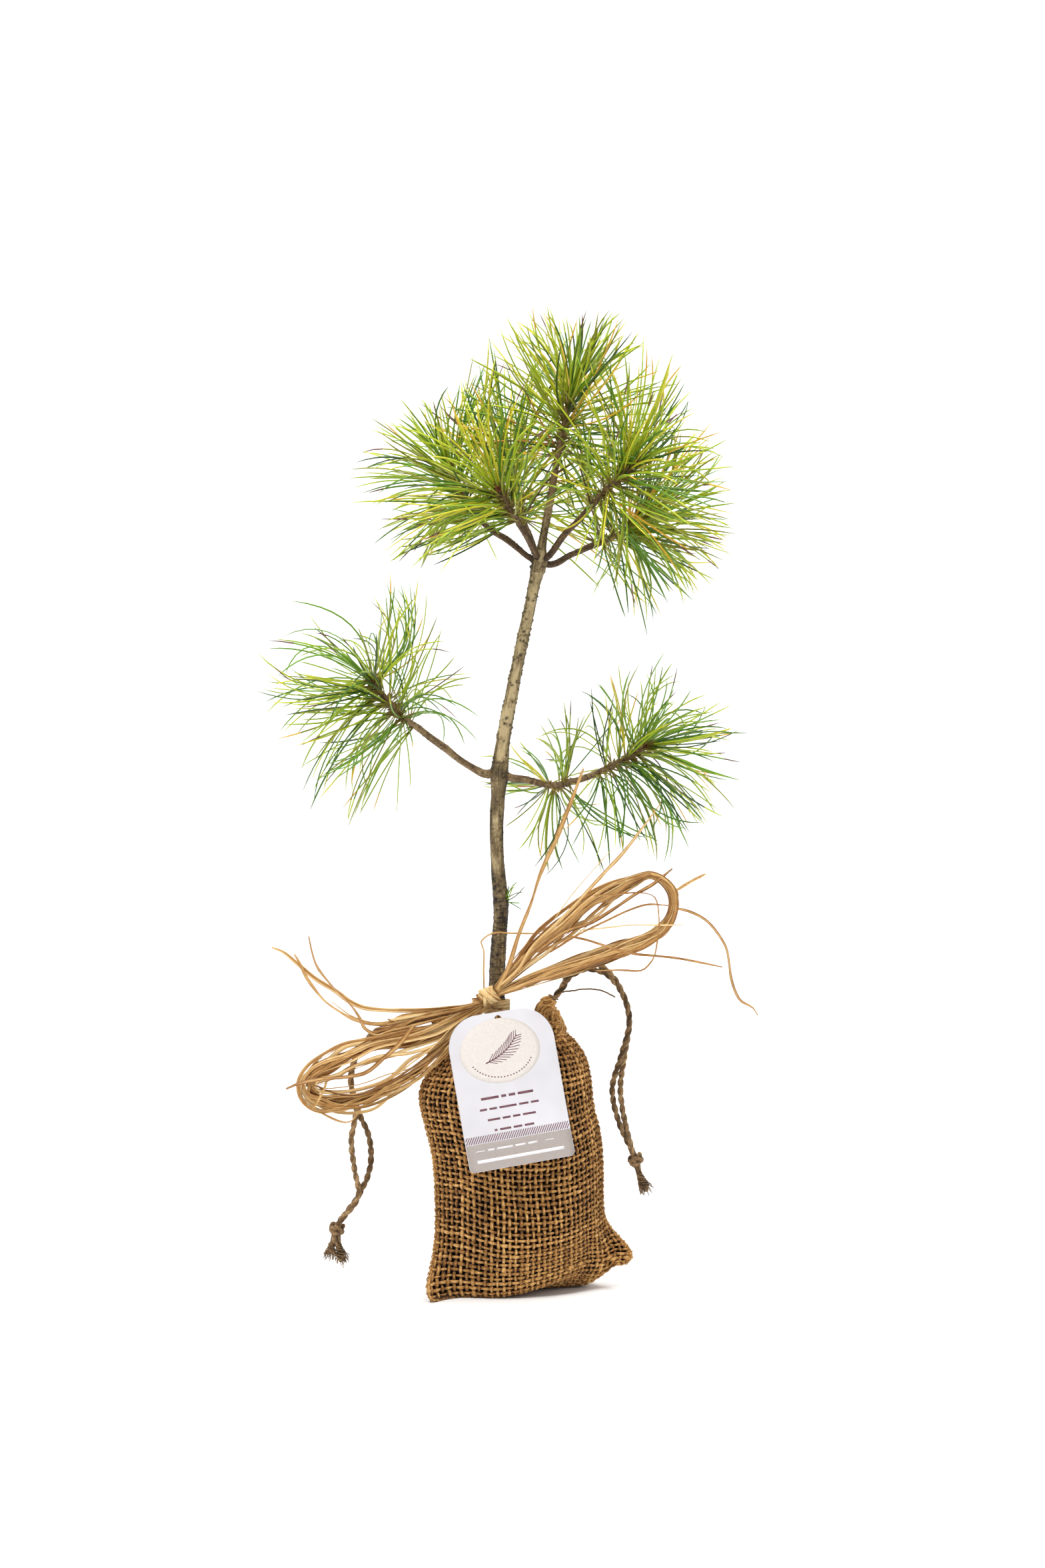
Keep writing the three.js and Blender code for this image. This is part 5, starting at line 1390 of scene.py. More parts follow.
def make_horns():
    rng = np.random.default_rng(37)
    bag = Bag()
    sleeve(bag, [(19.0, 5.6, 119.5), (18.0, 6.0, 123.5), (15.4, 6.4, 127.0), (13.8, 7.0, 130.4), (14.4, 7.4, 133.4), (16.6, 7.8, 136.2)], [4.8, 4.7, 5.0, 5.7, 5.2, 4.0, 2.2], 24, 14, rng, swirl=2.6)
    sleeve(bag, [(-24, -7.5, 123.5), (-29, -7.6, 126.5), (-34.5, -7.0, 128.8), (-40.2, -6.1, 129)], [3.6, 4.6, 4.8, 3.8, 2.2, 1.7], 22, 10, rng, swirl=2.2)
    ob = bag.make("bag_gathers", burlap_mat, "burlap")
    ties = Bag()
    for centre, way, r in (((17.0, 7.8, 136.4), (0.55, 0.1, 1), 2.3), ((-38.4, -6.3, 129), (-1, 0.15, 0), 2.5)):
        way = unit(way)
        a = unit(np.cross(way, (0, 1, 0.1)))
        b = np.cross(way, a)
        k = np.linspace(0, 1, 80)
        th = 2 * math.pi * 3.2 * k
        p = np.array(centre) + np.outer(np.cos(th) * r, a) + np.outer(np.sin(th) * r * 0.9, b) + np.outer((k - 0.5) * 2.2 + 0.3 * np.sin(th * 0.5), way)
        _, pa, pb = frames(p, way)
        tubes(ties, p, pa, pb, 0.42, 0.42, 6)
    # the drawstring where it leaves the gathered cloth
    for sign in (-1, 1):
        stub = spline([(15.4, 7.6, 133.6), (17.4, 7.9 + 0.5 * sign, 136.4), (19.4, 8 + 1.1 * sign, 138.9), (21.3, 8 + 1.35 * sign, 141.3), (22.6, 8 + 1.35 * sign, 143.4)], 40)
        plied(ties, stub, rng=rng, turn=rng.uniform(0, 6))
    # the stray yarn beside the right drawstring
    p = spline([(20.4, 5.4, 139.5), (26, 5.0, 140.6), (33.5, 4.8, 141.4), (41.5, 4.4, 140.2), (46.5, 4.0, 137.6)], 70) + np.outer(0.25 * wander(70, rng, 6, 3), (0, 0, 1))
    _, pa, pb = frames(p, (0, 1, 0))
    tubes(ties, p, pa, pb, 0.46, 0.42, 6)
    ties.make("bag_ties", jute_mat, "jute")


def make_soil():
    """The dark root ball that shows through the weave, and the soil in the mouth."""
    rng = np.random.default_rng(41)
    ks = np.linspace(3.0, WEFTS, 96)
    ks = ks[np.interp(ks * PITCH, PROFILE_Q, PROFILE[:, 0]) > 1.6]
    al = np.linspace(0.7, WARPS - 0.7, 70)
    rows = []
    for k in ks:
        f, bk = bag_surface(al, np.full_like(al, k), -1), bag_surface(al, np.full_like(al, k), 1)
        mid, half = (f + bk) / 2, (f - bk) / 2
        thick = np.linalg.norm(half, axis=1, keepdims=True)
        half = half * np.maximum(0.06, 1 - 1.75 / np.maximum(thick, 1e-3))
        ring = np.vstack([mid + half, (mid - half)[::-1][1:-1]])
        ring[:, 2] = np.maximum(ring[:, 2], 1.9)
        rows.append(ring)
    v = np.array(rows)
    m = v.shape[1]
    v = v + (vnoise(v * 0.35, 3)[..., None] - 0.5) * 0.4
    quads = []
    for i in range(len(rows) - 1):
        for j in range(m):
            j2 = (j + 1) % m
            quads.append((i * m + j, (i + 1) * m + j, (i + 1) * m + j2, i * m + j2))
    bag = Bag()
    top_c = v[0].mean(0) + np.array([0, 0, -2.0])
    bot_c = v[-1].mean(0)
    verts = np.vstack([v.reshape(-1, 3), top_c, bot_c])
    tris = [(len(verts) - 2, j, (j + 1) % m) for j in range(m)] + [(len(verts) - 1, (len(rows) - 1) * m + (j + 1) % m, (len(rows) - 1) * m + j) for j in range(m)]
    bag.add(verts, quads, tris)
    # crumbs of bark and soil in the mouth
    for _ in range(260):
        x, y = rng.normal(0, 0.45), rng.normal(0, 0.45)
        if x * x + y * y > 0.8:
            continue
        px, py = -1.5 + x * 21, 2.6 + y * 10
        c0 = np.array([px * math.cos(YAW) - py * math.sin(YAW), px * math.sin(YAW) + py * math.cos(YAW), 120.2 + rng.uniform(-0.5, 1.3)])
        d = unit(rng.normal(0, 1, 3) * np.array([1, 1, 0.4]))
        p = c0 + np.outer(np.linspace(-1, 1, 4) * rng.uniform(0.5, 1.8), d)
        _, pa, pb = frames(p, (0.1, 0.3, 1))
        w = rng.uniform(0.35, 0.9) * np.array([0.5, 1, 0.9, 0.4])
        tubes(bag, p, pa, pb, w, w * 0.7, 5)
    m_, nt, b = material("soil", 0.95, 0.1)
    n1 = noise(nt, 700, 6, 0.7)
    col = ramp(nt, [(0.3, (.055, .035, .02)), (0.55, (.13, .085, .05)), (0.75, (.24, .16, .09))], n1)
    nt.links.new(col, b.inputs["Base Color"])
    bump(nt, b, n1, 0.8, 0.001)
    bag.make("root_ball_soil", m_, "root_ball")


make_weave()
make_seams()
make_horns()
make_soil()


# ------------------------------------------------------------------ raffia bow
def raffia_material():
    """Dried palm leaf: fine streaks that run along each strand, from the tone attribute, and a tint for each strand; on
    the turns round the trunk the tone also carries painted light.
    """
    m, nt, b = material("raffia", 0.5, 0.32)
    tone = nt.nodes.new("ShaderNodeAttribute"); tone.attribute_name = "tone"
    grain = noise(nt, 420, 3, 0.6)
    mix = nt.nodes.new("ShaderNodeMath"); mix.operation = "MULTIPLY_ADD"
    nt.links.new(island(nt), mix.inputs[0]); mix.inputs[1].default_value = 0.5
    nt.links.new(tone.outputs["Fac"], mix.inputs[2])
    mix2 = nt.nodes.new("ShaderNodeMath"); mix2.operation = "MULTIPLY_ADD"
    nt.links.new(grain, mix2.inputs[0]); mix2.inputs[1].default_value = 0.22
    nt.links.new(mix.outputs[0], mix2.inputs[2])
    col = ramp(nt, [(0.12, (.32, .19, .08)), (0.40, (.62, .43, .22)), (0.66, (.81, .64, .40)), (0.95, (.93, .82, .60))], mix2.outputs[0])
    nt.links.new(col, b.inputs["Base Color"])
    bump(nt, b, grain, 0.3, 0.0001)
    return m


raffia_mat = raffia_material()


def ribbon(bag, pts, width, rng, thick=0.32, twist=None, curl=1.0, taper=(0.75, 0.35), n=None, ref=(0, 1, 0), phase=None, tone=0.0):
    """One raffia strand: a dried leaf strip, creased along its length, that turns and narrows as it goes."""
    c = np.asarray(pts, float) if len(pts) > 30 else spline(pts, 90)
    ln = length_of(c)
    n = n or int(np.clip(ln / 2.0, 24, 115))
    c = resample(c, n)
    t, a0, b0 = frames(c, ref)
    ph = rng.normal(0, 0.75) if phase is None else phase
    tw = ph + (rng.uniform(-1.6, 1.6) if twist is None else twist) * wander(n, rng, 3, 1.2) + 0.25 * wander(n, rng, 5, 5)
    a = np.cos(tw)[:, None] * a0 + np.sin(tw)[:, None] * b0
    b = np.cross(t, a)
    k = np.linspace(0, 1, n)
    w = width * (1 + 0.16 * wander(n, rng, 5, 3)) * np.interp(k, [0, 0.06, 0.85, 1], [taper[0], 1, 1, taper[1]])
    sides = 12
    th = np.arange(sides) * 2 * math.pi / sides
    # section: long in b, thin in a, folded along two or three creases
    ys = np.cos(th)
    xs = np.sin(th) * thick
    depth = rng.uniform(0.12, 0.42) * curl
    f1, f2 = rng.uniform(0.6, 1.5), rng.uniform(0, 6)
    fold = depth * (np.sin(ys * 2.2 * f1 + f2) + 0.5 * np.abs(ys))
    fold = fold - fold.mean()
    prof_a = xs / max(width, 0.3) * 1.0
    v = c[:, None, :] + (w[:, None] * ys[None, :])[..., None] * b[:, None, :] + (xs[None, :] * 0.5 + w[:, None] * fold[None, :] * (0.6 + 0.4 * np.sin(k * 7 + f2))[:, None])[..., None] * a[:, None, :]
    i = np.arange(n - 1)[:, None] * sides
    q = np.arange(sides)[None, :]
    q2 = (q + 1) % sides
    quads = np.stack(np.broadcast_arrays(i + q, i + sides + q, i + sides + q2, i + q2), -1).reshape(-1, 4)
    fan = np.array([[0, x, x + 1] for x in range(1, sides - 1)])
    tris = np.concatenate([fan, (n - 1) * sides + fan[:, ::-1]])
    bag.add(v, quads, tris)
    # streaks: each line of vertices along the strand keeps its own tone
    own = 0.11 * math.sin(12.9898 * len(STREAKS) + 1.7)  # some strands are paler than others as a whole
    lines = 0.28 + tone + own + 0.19 * rng.normal(0, 1, sides)[None, :] + 0.12 * wander(n, rng, 4, 3)[:, None]
    lines = lines - 0.16 * (np.abs(ys) > 0.85)[None, :] + 0.05 * rng.normal(0, 1, (n, sides))
    STREAKS.append(lines.ravel())
    return c


STREAKS = []


def raffia_piece(bag, name):
    ob = bag.make(name, raffia_mat, "raffia")
    set_attribute(ob, "tone", np.clip(np.concatenate(STREAKS), 0, 1))
    STREAKS.clear()
    return ob


# stations round each loop of the bow: x, z, and half the spread of the bundle there
RIGHT_LOOP = [(-10.2, 142.3, .9), (1.0, 154.3, 2.6), (11.2, 164.6, 4.0), (22.3, 173.1, 4.8), (34.3, 182.5, 4.2), (44.6, 189.4, 3.2), (54.9, 194.5, 2.0), (61.7, 197.0, 1.2),
              (67.7, 194.7, 1.0), (72.2, 189.6, 1.1), (73.4, 183.4, 1.3), (71.3, 176.1, 1.7), (66.8, 170.6, 2.0), (58.3, 165.9, 2.5), (49.7, 162.2, 2.8), (39.5, 158.6, 2.7),
              (29.2, 155.2, 2.5), (18.1, 151.2, 2.3), (6.9, 147.4, 1.9), (-1.6, 144.0, 1.5), (-9.3, 140.6, .9)]
LEFT_LOOP = [(-15.0, 136.2, .8), (-27.3, 128.6, 2.4), (-38.1, 122.6, 3.4), (-51.0, 119.2, 3.9), (-65.3, 116.4, 4.4), (-78.2, 112.4, 4.6), (-86.8, 108.3, 4.4), (-93.2, 104.4, 4.0),
             (-97.2, 99.7, 3.2), (-96.1, 95.4, 3.6), (-91.1, 92.2, 4.2), (-83.2, 91.9, 4.2), (-71.0, 94.4, 4.0), (-58.1, 99.2, 3.6), (-46.7, 106.1, 3.4), (-36.6, 114.5, 3.0),
             (-27.3, 123.6, 2.4), (-19.5, 131.3, 1.4), (-14.6, 135.2, .8)]


def loop_strand(bag, loop, lane, deep, rng, far_y, width, first=0, last=None, cross=0.5, kink=0.0, tone=0.0):
    """A strand that follows a loop of the bow in its own lane; it may start or stop part of the way round."""
    st = np.array(loop[first:last], float)
    m = len(st)
    d = unit(np.gradient(st[:, :2], axis=0))
    nrm = np.stack([-d[:, 1], d[:, 0]], 1)
    k = np.linspace(0, 1, m)
    lanes = np.clip(lane + cross * wander(m, rng, 3, 1.3) + 0.22 * rng.normal(0, 1, m), -1.25, 1.25)
    q = st[:, :2] + nrm * (lanes * st[:, 2] * 1.12)[:, None]
    if kink:
        j = rng.integers(2, m - 2)
        q[j] += rng.normal(0, kink, 2)
    share = np.linspace(first / (len(loop) - 1), (first + m - 1) / (len(loop) - 1), m)
    y = -11.0 - far_y * np.sin(math.pi * share) ** 0.8 + deep * (0.35 + 0.65 * np.sin(math.pi * share)) + 0.7 * wander(m, rng, 3, 2) * np.sin(math.pi * share)
    ribbon(bag, spline(np.stack([q[:, 0], y, q[:, 1]], 1), 150), width, rng, tone=tone)


def make_raffia():
    rng = np.random.default_rng(53)
    bag = Bag()
    widths = [0.32, 0.5, 0.75, 1.0, 1.35]
    for j in range(22):
        lane = (-0.85, -0.15, 0.15, 0.85)[j % 4] + rng.normal(0, 0.13)
        loop_strand(bag, RIGHT_LOOP, lane, rng.uniform(-2.6, 2.4), rng, 5.2, rng.choice(widths, p=[.16, .24, .26, .2, .14]) * rng.uniform(0.85, 1.15), cross=0.34, kink=rng.choice([0, 1.2, 2.0]))
    for j in range(18):
        lane = (-0.95, -0.3, 0.35, 0.95)[j % 4] + rng.normal(0, 0.12)
        loop_strand(bag, LEFT_LOOP, lane, rng.uniform(-2.6, 2.4), rng, 8.2, rng.choice(widths, p=[.14, .22, .26, .22, .16]) * rng.uniform(0.85, 1.2), cross=0.5, kink=rng.choice([0, 1.4, 2.4]), tone=0.10)
    # strands that run only part of the way and end loose
    for j in range(5):
        loop_strand(bag, RIGHT_LOOP, rng.uniform(-1, 1), rng.uniform(-2.5, 0), rng, 5.2, rng.uniform(0.3, 0.7), first=0, last=int(rng.integers(8, 13)))
        loop_strand(bag, LEFT_LOOP, rng.uniform(-1, 1), rng.uniform(-2.5, 0), rng, 8.2, rng.uniform(0.3, 0.7), first=int(rng.integers(7, 11)))
    a = raffia_piece(bag, "raffia_loops")
    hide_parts("raffia_loop_right_upper", "raffia_loop_right_lower", "raffia_loop_left_upper", "raffia_loop_left_lower")
    # free tails, from the knot outwards
    bag = Bag()
    tails = [
        # up and out to the left
        ([(-14, -11, 137.4), (-24, -11.5, 135), (-32.3, -12, 134.4), (-44, -12, 133.4), (-53.8, -12, 133.2), (-62.4, -12, 133.4), (-71.7, -12, 134.6), (-78.2, -12, 137.6), (-84, -12, 142), (-94, -12, 148.2), (-102.5, -12, 155.4), (-109, -12, 160.7), (-114.2, -12, 162.7)], 1.25),
        ([(-14, -11.4, 137), (-26, -12, 134), (-36.6, -12.5, 132.3), (-47.4, -13, 130.2), (-51, -13, 128.2), (-61, -14, 127.1), (-68.9, -15, 127.5), (-75.3, -15.5, 129.2), (-81.8, -16, 132.8), (-88.9, -16, 137.8), (-93.9, -16, 143.6), (-98.2, -16, 150), (-101.1, -16, 156.4), (-103.4, -16, 160)], 1.15),
        ([(-14, -12, 136.8), (-29.5, -14, 133), (-40.2, -15, 131), (-48.8, -16, 128.8), (-53.1, -16.5, 126), (-61.7, -17, 124.6), (-66.7, -17.5, 123.2), (-71, -18, 126), (-72.5, -18, 129.6), (-76.8, -18, 136), (-83.2, -18, 142.5), (-92.5, -18, 154), (-95, -18, 161.1), (-96.5, -18, 168.6)], 1.1, -0.04),
        ([(-14, -12.5, 136.4), (-29.5, -14.5, 131.5), (-39.5, -15.5, 128.8), (-51, -17, 126), (-58.1, -17.5, 124.6), (-65.3, -18, 122.4), (-69.6, -18, 124.5), (-72, -18, 126.5)], 0.9),
        ([(-14, -12, 136.6), (-28, -12.5, 133.4), (-41, -13, 131), (-55, -13.5, 129), (-66, -14, 127.6), (-76, -14.5, 130.5), (-86, -15, 137.6)], 0.6),
        # the strand that crosses the left loop and ends past its bend
        ([(-48, -21.5, 127), (-49.5, -22, 125), (-54.5, -22.8, 118.6), (-61, -23.4, 112.9), (-69.6, -24, 105.8), (-78.2, -24.4, 103.8), (-90.4, -24.6, 102.8), (-101.1, -24.8, 100.6), (-106.8, -25, 98.2)], 1.15),
        ([(-28, -20, 123), (-37, -21, 113.6), (-47, -22, 107), (-60, -22.6, 100), (-73, -22.6, 95.2), (-81, -22.5, 95.0), (-88, -22.2, 97), (-94, -22, 99.4)], 0.34),
        ([(-88, -23.4, 101.6), (-89.6, -23.6, 97.2), (-91.8, -23.8, 93), (-94, -24, 89.2)], 0.7),
        # up and to the right
        ([(-9.2, -13.4, 143.0), (-4, -14.2, 153), (1.0, -15, 168.8), (7.0, -16.5, 184.2), (10.8, -17.3, 196.4), (14, -18, 204.2), (18.5, -18, 214), (24.5, -18, 229), (31.0, -18, 246.5)], 1.25, 0.30),
        ([(-7.6, -13.4, 144.9), (1, -15, 153), (7, -17, 163), (18, -19, 174), (25.8, -21.0, 181.8), (32.7, -22, 189.5), (40.4, -23, 198), (50, -23, 208.4), (58.4, -23, 219.4), (66.8, -23, 230.6)], 1.05, 0.16),
        ([(9.5, -18.6, 161.2), (22.3, -20.2, 170.6), (34.3, -21, 175), (45.5, -21, 181.8), (54.9, -20.5, 188.2), (63.4, -19, 192.9), (72.3, -18, 200)], 1.0),
        ([(15.5, -19, 161.2), (29.2, -20.4, 169.8), (41.2, -21, 175.8), (52.3, -21, 181), (60.9, -21, 183.6), (68.6, -20.5, 183.2), (72, -20, 182.8)], 0.6),
        ([(29.2, -20, 171.4), (41.2, -20.6, 172.7), (53.1, -21, 174), (62.6, -21, 174), (77.1, -20.5, 174)], 0.42),
        ([(24, -19.6, 168.8), (32.6, -20, 167), (44.6, -20.6, 163.2), (54.9, -21, 160.6), (63.4, -21, 159.8), (75.4, -21.5, 158.5), (95.5, -22, 154.6)], 0.66, -0.10),
        ([(36, -19.6, 187.6), (46.3, -20, 188.2), (56.6, -20.6, 189.0), (63.8, -21, 187.2), (66, -21.4, 177.4), (65.5, -21.4, 168.8), (63.8, -21.4, 159.4), (61.7, -21, 156), (58.3, -20.6, 153), (48, -20, 153), (37, -19.6, 152.6)], 0.60, -0.42),
        ([(73.7, -18, 181.7), (80.5, -18, 180), (88.2, -17.5, 175.8), (94.2, -17, 168.8), (97.6, -16.8, 162.8), (98.9, -16.5, 156), (99.8, -16.4, 149.2), (101.9, -16.2, 142.4), (104.4, -16, 138.2), (107.5, -16, 136.4), (109.8, -16, 135.2), (112.4, -16, 131.4)], 0.72, -0.10),
        ([(73.8, -18, 189.6), (80.5, -18, 193.8), (87.8, -18, 197.6)], 0.85),
        ([(17.2, -16, 175.8), (25.8, -17, 187.8), (36, -18, 199.8), (43.7, -18.5, 208.4)], 0.16),
        # round the trunk
        ([(-15.2, -8, 141.5), (-15.4, -7.2, 151), (-15.4, -7, 161.2), (-16.7, -7, 164.7), (-15.4, -6.9, 166.4), (-12, -6.8, 168.6), (-8, -6.2, 169.2), (-4, -6.2, 168.9), (13.8, -9, 168.8)], 0.34),
    ]
    for j in range(7):
        y0 = rng.uniform(-2, 2)
        tails.append(([(-15, -11 + y0 * 0.4, 136.6), (-26 + rng.uniform(-2, 2), -11.5 + y0, 133.4 + rng.uniform(-1.6, 1.6)), (-38, -12.5 + y0, 131.2 + rng.uniform(-2.2, 2.2)),
                       (-50 + rng.uniform(-4, 4), -13.5 + y0, 129.2 + rng.uniform(-2.8, 2.4)), (-60 + rng.uniform(-6, 4), -14.5 + y0, 127.2 + rng.uniform(-3, 2.6))], rng.uniform(0.5, 1.2)))
    for pts, w, *tint in tails:
        ribbon(bag, pts, max(w * 0.86, 0.40) if w > 0.2 else 0.26, rng, twist=0.7 if sum(tint) > -0.15 else 0.25, phase=rng.normal(0, 0.35), taper=(0.8, 0.45), tone=sum(tint))
    b = raffia_piece(bag, "raffia_tails")
    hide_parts("raffia_tail_left_long", "raffia_tail_left_short", "raffia_tail_left_low", "raffia_tail_up", "raffia_tail_up_right", "raffia_tail_curl", "raffia_tail_flat")
    # the knot: strands drawn in from both sides under tight turns, and the turns round the trunk
    bag = Bag()
    kc = np.array([-13.3, -10.4, 139.7])
    run = unit(np.array([1.0, 0, 0.52]))
    rise = unit(np.cross(run, (0, 1, 0)) * -1)
    front = np.array([0, 1.0, 0])
    for j in range(12):
        z = rng.uniform(-1.9, 1.9)
        y = rng.uniform(-1.7, 1.9)
        pts = [kc + run * -7.5 + rise * (z * 0.9 - 1.2) + front * y * 0.8, kc + run * -4 + rise * (z * 0.8) + front * y, kc + rise * (z * 0.6) + front * (y * 1.1 - 0.5),
               kc + run * 4 + rise * (z * 0.8) + front * y, kc + run * 8 + rise * (z * 1.0) + front * y * 0.8]
        ribbon(bag, pts, rng.uniform(0.8, 1.4), rng, twist=0.5, curl=0.7)
    for j, (off, slant, wide) in enumerate(((-2.7, 0.5, 1.25), (-1.3, -0.4, 1.5), (0.4, 0.35, 1.7), (1.7, -0.5, 1.5), (2.9, 0.3, 1.1), (0.0, 1.1, 1.0), (-1.8, -1.0, 0.8), (2.2, 0.9, 0.7))):
        th = np.linspace(0, 2 * math.pi * 1.06, 64) + rng.uniform(0, 6.3)
        rad = 3.9 - 0.10 * off**2 + (0.5 if j > 4 else 0) + rng.uniform(-0.15, 0.15)
        p = kc + np.outer(off + slant * np.sin(th) * 2.0 + 0.25 * wander(64, rng, 3, 2), run) + np.outer(np.sin(th) * rad, rise) + np.outer(np.cos(th) * rad * 0.82, front)
        ribbon(bag, p, wide, rng, thick=0.35, twist=0.12, curl=0.5, ref=run, phase=math.pi / 2, taper=(1, 1), tone=0.08)
    k = raffia_piece(bag, "raffia_knot_turns")
    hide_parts("raffia_knot")
    bag = Bag()
    # painted light: the turns round the trunk get a paler tone so they read bright in the shade under the knot
    for j in range(11):
        z0 = 134.2 + (j - 5) * 0.46 + rng.uniform(-0.3, 0.3)
        th = np.linspace(0, 2 * math.pi, 72) + rng.uniform(0, 6)
        rad = 5.4 + 1.1 * rng.uniform(0, 1) + 0.15 * np.sin(3 * th + j)
        p = np.stack([-9.4 + np.cos(th) * rad, np.sin(th) * rad, z0 + rng.uniform(-0.5, 1.0) * np.cos(th) + rng.uniform(-0.5, 0.5) * np.sin(th + j)], 1)
        ribbon(bag, p, rng.uniform(0.8, 1.3), rng, thick=0.4, twist=0.15, curl=0.5, ref=(0, 0, 1), phase=math.pi / 2, taper=(1, 1), tone=0.26)
    # the strand that carries the tag
    ribbon(bag, [(-12.4, -6.8, 134.6), (-10.8, -12.0, 132.6), (-9.2, -16.4, 130.7), (-8.6, -18.4, 129.5), (-8.2, -17.2, 128.6), (-7.2, -12.6, 131.2), (-6.4, -7.0, 134.0)],
           0.5, rng, taper=(1, 1), twist=0.4)
    w = raffia_piece(bag, "raffia_wrap_turns")
    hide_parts("raffia_wrap")


make_raffia()


# ------------------------------------------------------------------ hang tag
TAG = dict(width=51.5, height=71.5, thick=0.5, top_r=15.5, bottom_r=2.2, hole=1.8, drop=3.3, place=(-8.6, -18.6, 130.0), roll=math.radians(7.0), lean=math.radians(11.2))


def card_point(u, v, off):
    """A point of the card: u across, v down from the hole, off out of the printed face."""
    u, v, off = np.broadcast_arrays(np.asarray(u, float), np.asarray(v, float), np.asarray(off, float))
    bow = 0.55 * (u / 25.0) ** 2 + 0.35 * np.sin(v / 22.0) - 0.5 * np.clip((v - 50) / 20, 0, 1) ** 2
    x, y, z = u, -(off - bow), -v
    c, s = math.cos(TAG["roll"]), math.sin(TAG["roll"])
    # roll in the card's own plane, then lean, then turn to the bag
    x, z = x * c - z * s, x * s + z * c
    cl, sl = math.cos(TAG["lean"]), math.sin(TAG["lean"])
    y, z = y * cl + z * sl, z * cl - y * sl
    cy, sy = math.cos(YAW), math.sin(YAW)
    x, y = x * cy - y * sy, x * sy + y * cy
    return np.stack([x, y, z], -1) + np.array(TAG["place"])


def card_half(v):
    """Half width of the card at v below the hole."""
    top = v + TAG["drop"]
    r, w, b = TAG["top_r"], TAG["width"] / 2, TAG["bottom_r"]
    bottom = TAG["height"] - top
    half = np.full_like(top, w)
    half = np.where(top < r, w - r + np.sqrt(np.maximum(r**2 - (r - top) ** 2, 0)), half)
    return np.where(bottom < b, w - b + np.sqrt(np.maximum(b**2 - (b - bottom) ** 2, 0)), half)


def slab(bag, outline, high, rings=1, low=-0.06, centre=None):
    """A thin raised piece of print on the card, from a convex outline of (u, v)."""
    o = np.asarray(outline, float)
    n = len(o)
    c = o.mean(0) if centre is None else np.asarray(centre, float)
    verts, tris, quads = [], [], []
    area = np.sum(o[:, 0] * np.roll(o[:, 1], -1) - np.roll(o[:, 0], -1) * o[:, 1])
    if area > 0:
        o = o[::-1]
    for face, h in ((0, high), (1, low)):
        start = len(verts)
        verts.append(card_point(c[0], c[1], h))
        for g in range(1, rings + 1):
            q = c + (o - c) * g / rings
            verts += list(card_point(q[:, 0], q[:, 1], h))
        for j in range(n):
            j2 = (j + 1) % n
            tri = (start, start + 1 + j, start + 1 + j2)
            tris.append(tri if face == 0 else tri[::-1])
            for g in range(1, rings):
                a, b = start + 1 + (g - 1) * n, start + 1 + g * n
                qd = (a + j, b + j, b + j2, a + j2)
                quads.append(qd if face == 0 else qd[::-1])
    a, b = 1 + (rings - 1) * n, (1 + rings * n) + 1 + (rings - 1) * n
    for j in range(n):
        j2 = (j + 1) % n
        quads.append((a + j2, a + j, b + j, b + j2))
    bag.add(np.array(verts), quads, tris)


def patch(bag, rows, left, right, high, cols=14, low=-0.06):
    """A thin raised patch of print that follows the card, between two side lines."""
    cs = np.linspace(0, 1, cols)
    U = left[:, None] + (right - left)[:, None] * cs[None, :]
    Vv = np.broadcast_to(rows[:, None], U.shape)
    top, under = card_point(U, Vv, high), card_point(U, Vv, low)
    R, o = len(rows), len(rows) * cols
    quads = []
    for i in range(R - 1):
        for j in range(cols - 1):
            a, b, c, d = i * cols + j, i * cols + j + 1, (i + 1) * cols + j + 1, (i + 1) * cols + j
            quads += [(a, d, c, b), (o + a, o + b, o + c, o + d)]
        a, d = i * cols, (i + 1) * cols
        quads.append((a, o + a, o + d, d))
        a, d = i * cols + cols - 1, (i + 1) * cols + cols - 1
        quads.append((a, d, o + d, o + a))
    for j in range(cols - 1):
        quads.append((j, j + 1, o + j + 1, o + j))
        a, b = (R - 1) * cols + j, (R - 1) * cols + j + 1
        quads.append((a, o + a, o + b, b))
    bag.add(np.vstack([top.reshape(-1, 3), under.reshape(-1, 3)]), quads)


def bar(u0, v0, u1, v1, w):
    """Outline of a straight stroke of width w."""
    d = unit(np.array([u1 - u0, v1 - v0]))
    n = np.array([-d[1], d[0]]) * w / 2
    a, b = np.array([u0, v0]), np.array([u1, v1])
    return [a + n, b + n, b - n, a - n]


